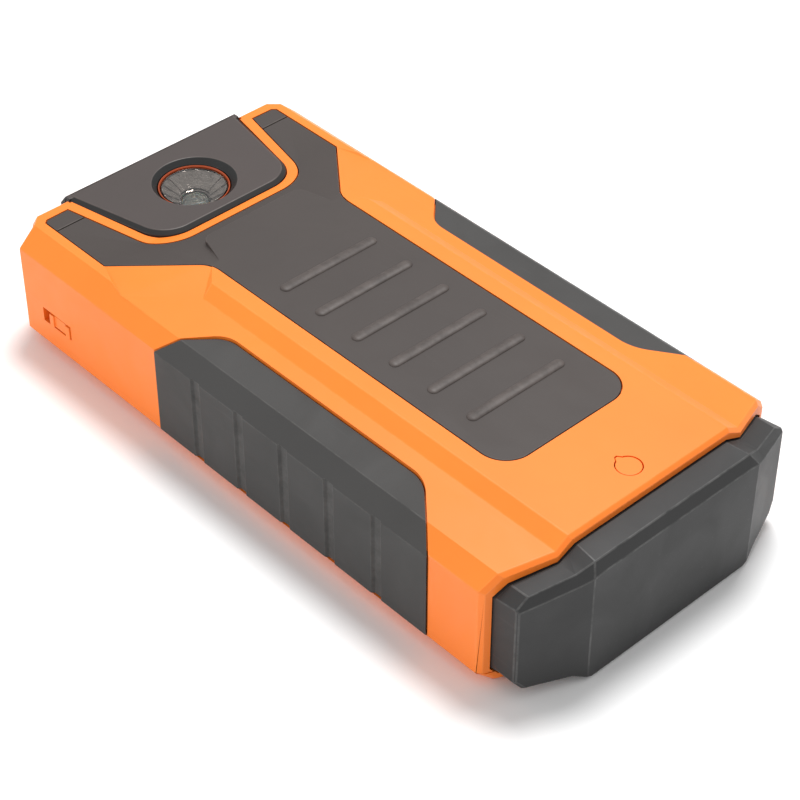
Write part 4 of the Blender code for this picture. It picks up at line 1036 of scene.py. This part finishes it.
def make_lamp():
    foot = [(max(x, LAMP_PANEL_FRONT), y) for x, y in lamp_outline(GAP)]
    top = [(max(x, LAMP_PANEL_FRONT), y) for x, y in lamp_outline(GAP + 1.1)]
    slope = (LAMP_PANEL_HIGH - LAMP_PANEL_LOW) / (LAMP_PANEL_INNER - LAMP_PANEL_OUTER)

    def top_height(x):
        return LAMP_PANEL_LOW + slope * (x - LAMP_PANEL_OUTER)

    rings = [[(x, y, 31.3) for x, y in foot], [(x, y, top_height(x) - 1.0) for x, y in foot],
             [(x, y, top_height(x)) for x, y in top]]
    panel = loft("lamp_frame", rings)
    skirt = prism("lamp_skirt", lamp_skirt_outline(0.0), "Y", -LAMP_SKIRT_HALF, LAMP_SKIRT_HALF)
    keep_inside(skirt, box("skirt_room", (-95, -27.2, 20), (-86.8, 27.2, 33.35)))
    join(panel, skirt)
    well = LENS_RADIUS + 0.1
    funnel = [(0.0, 36.0), (RECESS_RADIUS + 1.6, 36.0), (RECESS_RADIUS, 34.1), (well, LENS_TOP + 0.1),
              (well, 25.0), (0.0, 25.0)]
    cut(panel, turned("lamp_recess", funnel))
    round_cut(panel, 0.2, 24)
    finish_piece(panel, "lamp_panel_frame", LAMP_FRAME, "panel", "lamp_panel", crease=7.0)
    # Faces steeper than the top take the darker colour: painted shade on the walls, the skirt and the recess.
    panel.data.materials.append(LAMP_WALL_SHADE)
    for face in panel.data.polygons:
        if face.normal.z < 0.8:
            face.material_index = 1

    bezel = [(8.6, 31.2), (9.0, 31.2), (9.0, LENS_TOP + 0.1), (8.94, LENS_TOP + 0.16),
             (8.78, LENS_TOP + 0.16), (8.6, LENS_TOP - 0.1)]
    finish_piece(turned("bezel", bezel), "lamp_bezel_ring", BEZEL, "housing", "lamp_bezel", crease=30)
    lens = [(0.0, 31.35), (8.2, 31.35), (8.2, LENS_TOP - 0.28), (8.12, LENS_TOP - 0.2), (7.2, LENS_TOP - 0.1),
            (5.0, LENS_TOP), (2.6, LENS_TOP + 0.07), (0.0, LENS_TOP + 0.1)]
    finish_piece(turned("lens", lens), "lamp_lens_disc", LENS, "lens", "lamp_lens", crease=30)
    bowl = [(8.35, 30.85), (9.0, 30.85), (9.0, 29.9), (5.6, 27.0), (3.7, 27.0), (3.7, 27.9), (5.2, 28.6),
            (7.2, 29.7)]
    finish_piece(turned("bowl", bowl), "reflector_bowl", MIRROR, "reflector", "reflector", crease=30)
    petals = petal_tree().make("petals", {
        "Count": 18, "Inner Radius": 3.9 * MM, "Outer Radius": 8.3 * MM, "Rise": 2.35 * MM,
        "Thickness": 0.22 * MM, "Centre": (LAMP_X * MM, 0.0, 29.6 * MM), "Finish": MIRROR})
    finish_piece(petals, "reflector_petals", MIRROR, "reflector", crease=20)
    dome = [(0.0, 26.9), (3.3, 26.9), (3.3, 27.5)]
    dome += [(3.3 * math.cos(t * math.pi / 16), 27.6 + (LED_TOP - 27.6) * math.sin(t * math.pi / 16))
             for t in range(1, 8)] + [(0.0, LED_TOP)]
    finish_piece(turned("dome", dome), "led_dome", PHOSPHOR, "led", "led_emitter", crease=30)
    disc = [(0.0, 25.1), (9.3, 25.1), (9.5, 25.3), (9.5, 26.4), (9.3, 26.6), (0.0, 26.6)]
    finish_piece(turned("disc", disc), "led_board_disc", ALUMINIUM, "aluminium", "led_board", crease=30)


# ------------------------------------------------------------------ switch, button, grips and cap
def make_controls():
    face = -(HALF_WIDTH + 0.35)
    low, high = SLOT_Z[0] + GAP, SLOT_Z[1] - GAP
    knob = box("knob", (KNOB_X[0], face + 0.45, low), (KNOB_X[1], -41.0, high))
    ridges = [box("ridge", (start, face, low), (start + 1.7, face + 1.0, high))
              for start in (KNOB_X[0], KNOB_X[1] - 1.7)]
    middle = (KNOB_X[0] + KNOB_X[1]) / 2
    join(knob, *ridges)
    round_cut(knob, 0.16, 30)
    join(knob, round_edges(box("flange", (KNOB_X[0] - 0.8, -41.8, SLOT_Z[0] - 1.2),
                               (KNOB_X[1] + 1.0, -40.9, SLOT_Z[1] + 1.2)), 0.15),
         round_edges(box("stem", (middle - 1.0, -41.0, 11.6), (middle + 1.0, -38.9, 13.3)), 0.15))
    finish_piece(knob, "slide_knob_cap", ORANGE, "housing", "slide_knob", body="slide_knob")

    button = prism("button", button_outline(-0.25), "Z", 33.4, PLATEAU - 0.05)
    round_cut(button, 0.2, 50)
    join(button, rod("button_flange", 4.1, (BUTTON_X, 0, 32.7), (BUTTON_X, 0, 33.45)))
    finish_piece(button, "power_button_cap", ORANGE, "housing", "power_button", crease=12,
                 body="power_button")


def make_grips():
    grooves = groove_tree()
    face = HALF_WIDTH + 0.35
    for side, word in ((-1, "near"), (1, "far")):
        grip = grip_blank("grip", side, 0.0, -38, 68)
        cutter = grooves.make("groove_cutter", {
            "Count": GROOVE_COUNT, "Pitch": GROOVE_PITCH * MM, "Width": (GROOVE_WIDTH - 0.4) * MM,
            "Depth": 1.5 * MM, "Height": 30.0 * MM, "Slope": 1.3 * side * MM,
            "Start": (GROOVE_FIRST * MM, side * (face - GROOVE_DEPTH + 0.75) * MM, 13.0 * MM),
            "Finish": GRIP})
        cutter.data.materials.append(None)
        cut(grip, cutter)
        round_cut(grip, 0.16, 25)
        finish_piece(grip, f"side_grip_{word}_pad", GRIP, "grip", f"side_grip_{word}", crease=6.5)


def make_cap():
    side = OPEN_SIDE[0] - GAP
    seam = [(24.7, 0.2), (SWEEP_START, 2.6), (29.5, 2.8), (39.8, 3.2), (side, 5.8), (side, 26.5),
            (38.7, 29.2), (SWEEP_START, 31.4), (26.0, 32.4), (23.4, 33.5)]
    edge = [(90.4, 24.7, 0.2), (90.4, 25.8, 0.8), (89.0, 29.2, 2.5), (84.8, 39.8, 3.2), (84.1, side, 5.8),
            (84.1, side, 27.3), (84.3, 38.7, 29.4), (87.9, 28.3, 31.5), (88.5, 26.2, 32.5),
            (89.1, 24.2, 33.4)]
    front = [(24.4, 0.6), (CAP_SWEEP_START, 1.3), (29.2, 2.9), (39.4, 3.7), (side - 0.3, 6.2),
             (side - 0.3, 26.7), (38.2, 27.4), (28.7, 29.6), (CAP_SWEEP_START, 30.6), (22.9, 31.0)]
    rings = [ring_both_sides(points) for points in
             (swept(seam, GAP), edge, [(cap_front(y), y, z) for y, z in front])]
    behind = swept_patches([0, 1, 7, 8, 9], [1, 2, 3, 4, 5, 6, 7], 20)
    ahead = swept_patches([0, 1, 8, 9], [1, 2, 3, 4, 5, 6, 7, 8], 20)
    cap = round_cut(loft("cap", rings, behind, ahead), 0.25, 16)
    rim = [(SWEEP_START, 3.4), (39.6, 3.4), (side, 5.5), (side, 26.3), (38.6, 29.0), (SWEEP_START, 31.1),
           (23.4, 33.3)]
    join(cap, loft("rim", [ring_both_sides(swept(rim, offset)) for offset in (-CAP_PLUG, 1.0)],
                   end_patches(7), end_patches(7)))
    room = [(SWEEP_START, 5.2), (38.0, 5.2), (39.8, 6.8), (39.8, 24.8), (37.4, 26.9), (SWEEP_START, 28.7),
            (22.8, 30.4)]
    wall = [(25.8, 5.2), (38.0, 5.2), (39.6, 6.8), (39.6, 23.6), (37.2, 25.4), (25.8, 26.6), (22.8, 27.6)]
    deep = [(cap_front(y) - CAP_WALL, y, z) for y, z in wall]
    rings = [ring_both_sides(swept(room, -6.0)), ring_both_sides(swept(room, 1.5)), ring_both_sides(deep)]
    cut(cap, loft("room", rings, end_patches(7), end_patches(7)))
    finish_piece(cap, "end_cap_shell", CAP, "cap", "end_cap", body="end_cap")


# ------------------------------------------------------------------ port end
def open_shell(starts, centre, outer, inner, radii, segments=3):
    """A socket's metal shell, closed behind and open in front, with rounded edges outside and in."""
    shell = round_edges(block("shell", starts[0], SOCKET_END, centre, outer), radii[0], segments)
    return cut(shell, round_edges(block("room", starts[1], 90, centre, inner), radii[1], segments))


def contact_row(tree, name, count, pitch, size, start):
    row = tree.make("row", {"Count": count, "Pitch": pitch * MM, "Size": size,
                            "Start": tuple(value * MM for value in start), "Finish": BRASS})
    finish_piece(row, name, BRASS, "contact")


def window(centre, half, radius):
    (y, z), (a, b) = centre, half
    corners = [(y - a, z - b), (y + a, z - b), (y + a, z + b), (y - a, z + b)]
    return prism("window", rounded([(*corner, radius) for corner in corners], 6), "X", 70, 90)


def make_ports():
    outline = [(SWEEP_START, 3.4), (39.6, 3.4), (41.7, 5.5), (41.7, 26.3), (38.6, 29.0), (SWEEP_START, 31.1),
               (23.4, 31.7)]
    rings = [ring_both_sides(swept(outline, PORT_FACE - PORT_END - back)) for back in (PORT_THICK, 0.0)]
    panel = round_edges(loft("panel", rings, end_patches(7), end_patches(7)), 0.2)
    windows = [window((JUMP_Y, JUMP_Z), (11.3, 5.8), 1.2), window(USB_C, (4.9, 2.0), 1.9),
               window(LIGHT_BAR, (8.3, 1.6), 0.5)]
    cut(panel, *windows, *[window((y, USB_Z), (6.9, 3.2), 0.6) for y in USB_Y])
    finish_piece(panel, "port_panel_plate", PANEL, "panel", "port_panel", crease=10)

    jump = round_edges(block("jump", 62.0, SOCKET_END, (JUMP_Y, JUMP_Z), (11.0, 5.5)), 1.0, 4)
    cut(jump, *[rod("bore", 3.5, (58, JUMP_Y + shift, JUMP_Z), (90, JUMP_Y + shift, JUMP_Z))
                for shift in (-JUMP_SHIFT, JUMP_SHIFT)])
    finish_piece(jump, "jump_socket_body", BLUE, "socket", "jump_socket", crease=10)
    for word, shift in (("negative", -JUMP_SHIFT), ("positive", JUMP_SHIFT)):
        y = JUMP_Y + shift
        contact = round_edges(rod("contact", 3.2, (58.0, y, JUMP_Z), (79.5, y, JUMP_Z)), 0.15, 2, 40)
        cut(contact, rod("bore", 2.3, (66.0, y, JUMP_Z), (95, y, JUMP_Z)))
        finish_piece(contact, f"jump_contact_{word}_sleeve", BRASS, "contact", f"jump_contact_{word}",
                     crease=12)

    blades = blade_tree()
    for number, y in enumerate(USB_Y, 1):
        shell = open_shell((67.0, 69.0), (y, USB_Z), (6.6, 2.9), (6.1, 2.4), (0.4, 0.25))
        finish_piece(shell, f"usb_a_socket_{number}_shell", STEEL, "steel", f"usb_a_socket_{number}")
        tongue = round_edges(box("tongue", (68.0, y - 5.4, USB_Z + 0.2), (79.5, y + 5.4, USB_Z + 1.9)), 0.2)
        finish_piece(tongue, f"usb_a_tongue_{number}", BLACK, "black")
        contact_row(blades, f"usb_a_blades_{number}", 4, 2.5, (0.0068, 0.001, 0.00024),
                    (75.0, y - 3.75, USB_Z + 0.18))
    shell = open_shell((72.0, 73.5), USB_C, (4.5, 1.65), (4.0, 1.2), (1.3, 1.0), 5)
    finish_piece(shell, "usb_c_socket_shell", STEEL, "steel", "usb_c_socket")
    tongue = round_edges(block("tongue", 73.0, 79.8, USB_C, (3.2, 0.35)), 0.12)
    finish_piece(tongue, "usb_c_tongue", BLACK, "black")
    contact_row(blades, "usb_c_blades", 10, 0.55, (0.004, 0.00026, 0.00078),
                (77.0, USB_C[0] - 2.475, USB_C[1]))
    bar = round_edges(block("bar", 72.0, PORT_FACE, LIGHT_BAR, (8.0, 1.3)), 0.35, 4)
    finish_piece(bar, "level_light_window", LIGHT_PIPE, "lens", "level_light_bar")


def make_feet():
    profile = [(0.0, 1.2), (0.0, 0.25), (2.2, 0.25), (2.5, 0.0), (4.6, 0.0), (4.85, 0.07), (5.0, 0.3),
               (5.0, 1.05), (4.85, 1.2)]
    number = 1
    for x, y in FOOT_PLACES:
        for side in SIDES:
            foot = turned("foot", profile, (x, side * y), 64)
            finish_piece(foot, f"foot_{number}_pad", RUBBER, "foot", f"foot_{number}", crease=30)
            number += 1


def dress_inner_parts():
    """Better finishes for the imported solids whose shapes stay."""
    finishes = {
        STEEL: ["slide_switch", "corner_screw_near", "corner_screw_far"]
               + [f"housing_screw_{n}" for n in range(1, 5)],
        BLACK: ["power_switch", "inductor", "capacitor"],
        ALUMINIUM: ["heat_sink"],
        BOARD: ["button_board", "main_board"],
        POUCH: [f"battery_cell_{n}" for n in range(1, 4)],
        FOAM: ["cell_pad_1", "cell_pad_2"],
        COPPER: ["cell_link_1", "cell_link_2"],
        RED_LEAD: ["positive_lead"],
        BLACK_LEAD: ["negative_lead", "lamp_lead"],
    }
    for finish, nodes in finishes.items():
        for node in nodes:
            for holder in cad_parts[node].material_slots:
                holder.material = finish


# ------------------------------------------------------------------ floor, light and camera
def floor():
    mesh = bpy.data.meshes.new("floor")
    mesh.from_pydata([(-3, -3, 0), (3, -3, 0), (3, 3, 0), (-3, 3, 0)], [], [(0, 1, 2, 3)])
    obj = linked("floor", mesh)
    made, tree, shader, place = blank_material("pale_floor", Roughness=0.9)
    paper = place_group(tree, DRIFT, place, Colour=tone(252, 252, 252), Darker=tone(249, 249, 249), Scale=4.0)
    tree.links.new(paper["Color"], shader.inputs["Base Color"])
    mesh.materials.append(made)


def soft_light(name, place, size, watts):
    lamp = bpy.data.lights.new(name, "AREA")
    lamp.shape = "DISK"
    lamp.size = size
    lamp.energy = watts
    obj = linked(name, lamp)
    obj.location = place
    obj.rotation_euler = (Vector(TARGET) - Vector(place)).to_track_quat("-Z", "Y").to_euler()


def studio():
    world = bpy.data.worlds.new("studio")
    world.use_nodes = True
    give(world.node_tree, world.node_tree.nodes["Background"],
         {"Color": (1.0, 1.0, 1.0, 1.0), "Strength": WORLD_LIGHT})
    bpy.context.scene.world = world
    bpy.context.scene.view_settings.view_transform = "Standard"
    soft_light("key", *KEY)
    soft_light("fill", *FILL)

    azimuth, elevation = math.radians(CAMERA_AZIMUTH), math.radians(CAMERA_ELEVATION)
    back = Vector((math.sin(azimuth) * math.cos(elevation), -math.cos(azimuth) * math.cos(elevation),
                   math.sin(elevation)))
    right = Vector((math.cos(azimuth), math.sin(azimuth), 0.0))
    camera = bpy.data.cameras.new("camera")
    camera.lens = LENS_LENGTH
    camera.sensor_width = SENSOR_WIDTH
    holder = linked("camera", camera)
    holder.matrix_world = (Matrix.Translation(CAMERA_PLACE)
                           @ Matrix((right, back.cross(right), back)).transposed().to_4x4())
    bpy.context.scene.camera = holder


make_casing()
make_top_panel()
make_lamp()
make_controls()
make_grips()
make_cap()
make_ports()
make_feet()
dress_inner_parts()
floor()
studio()
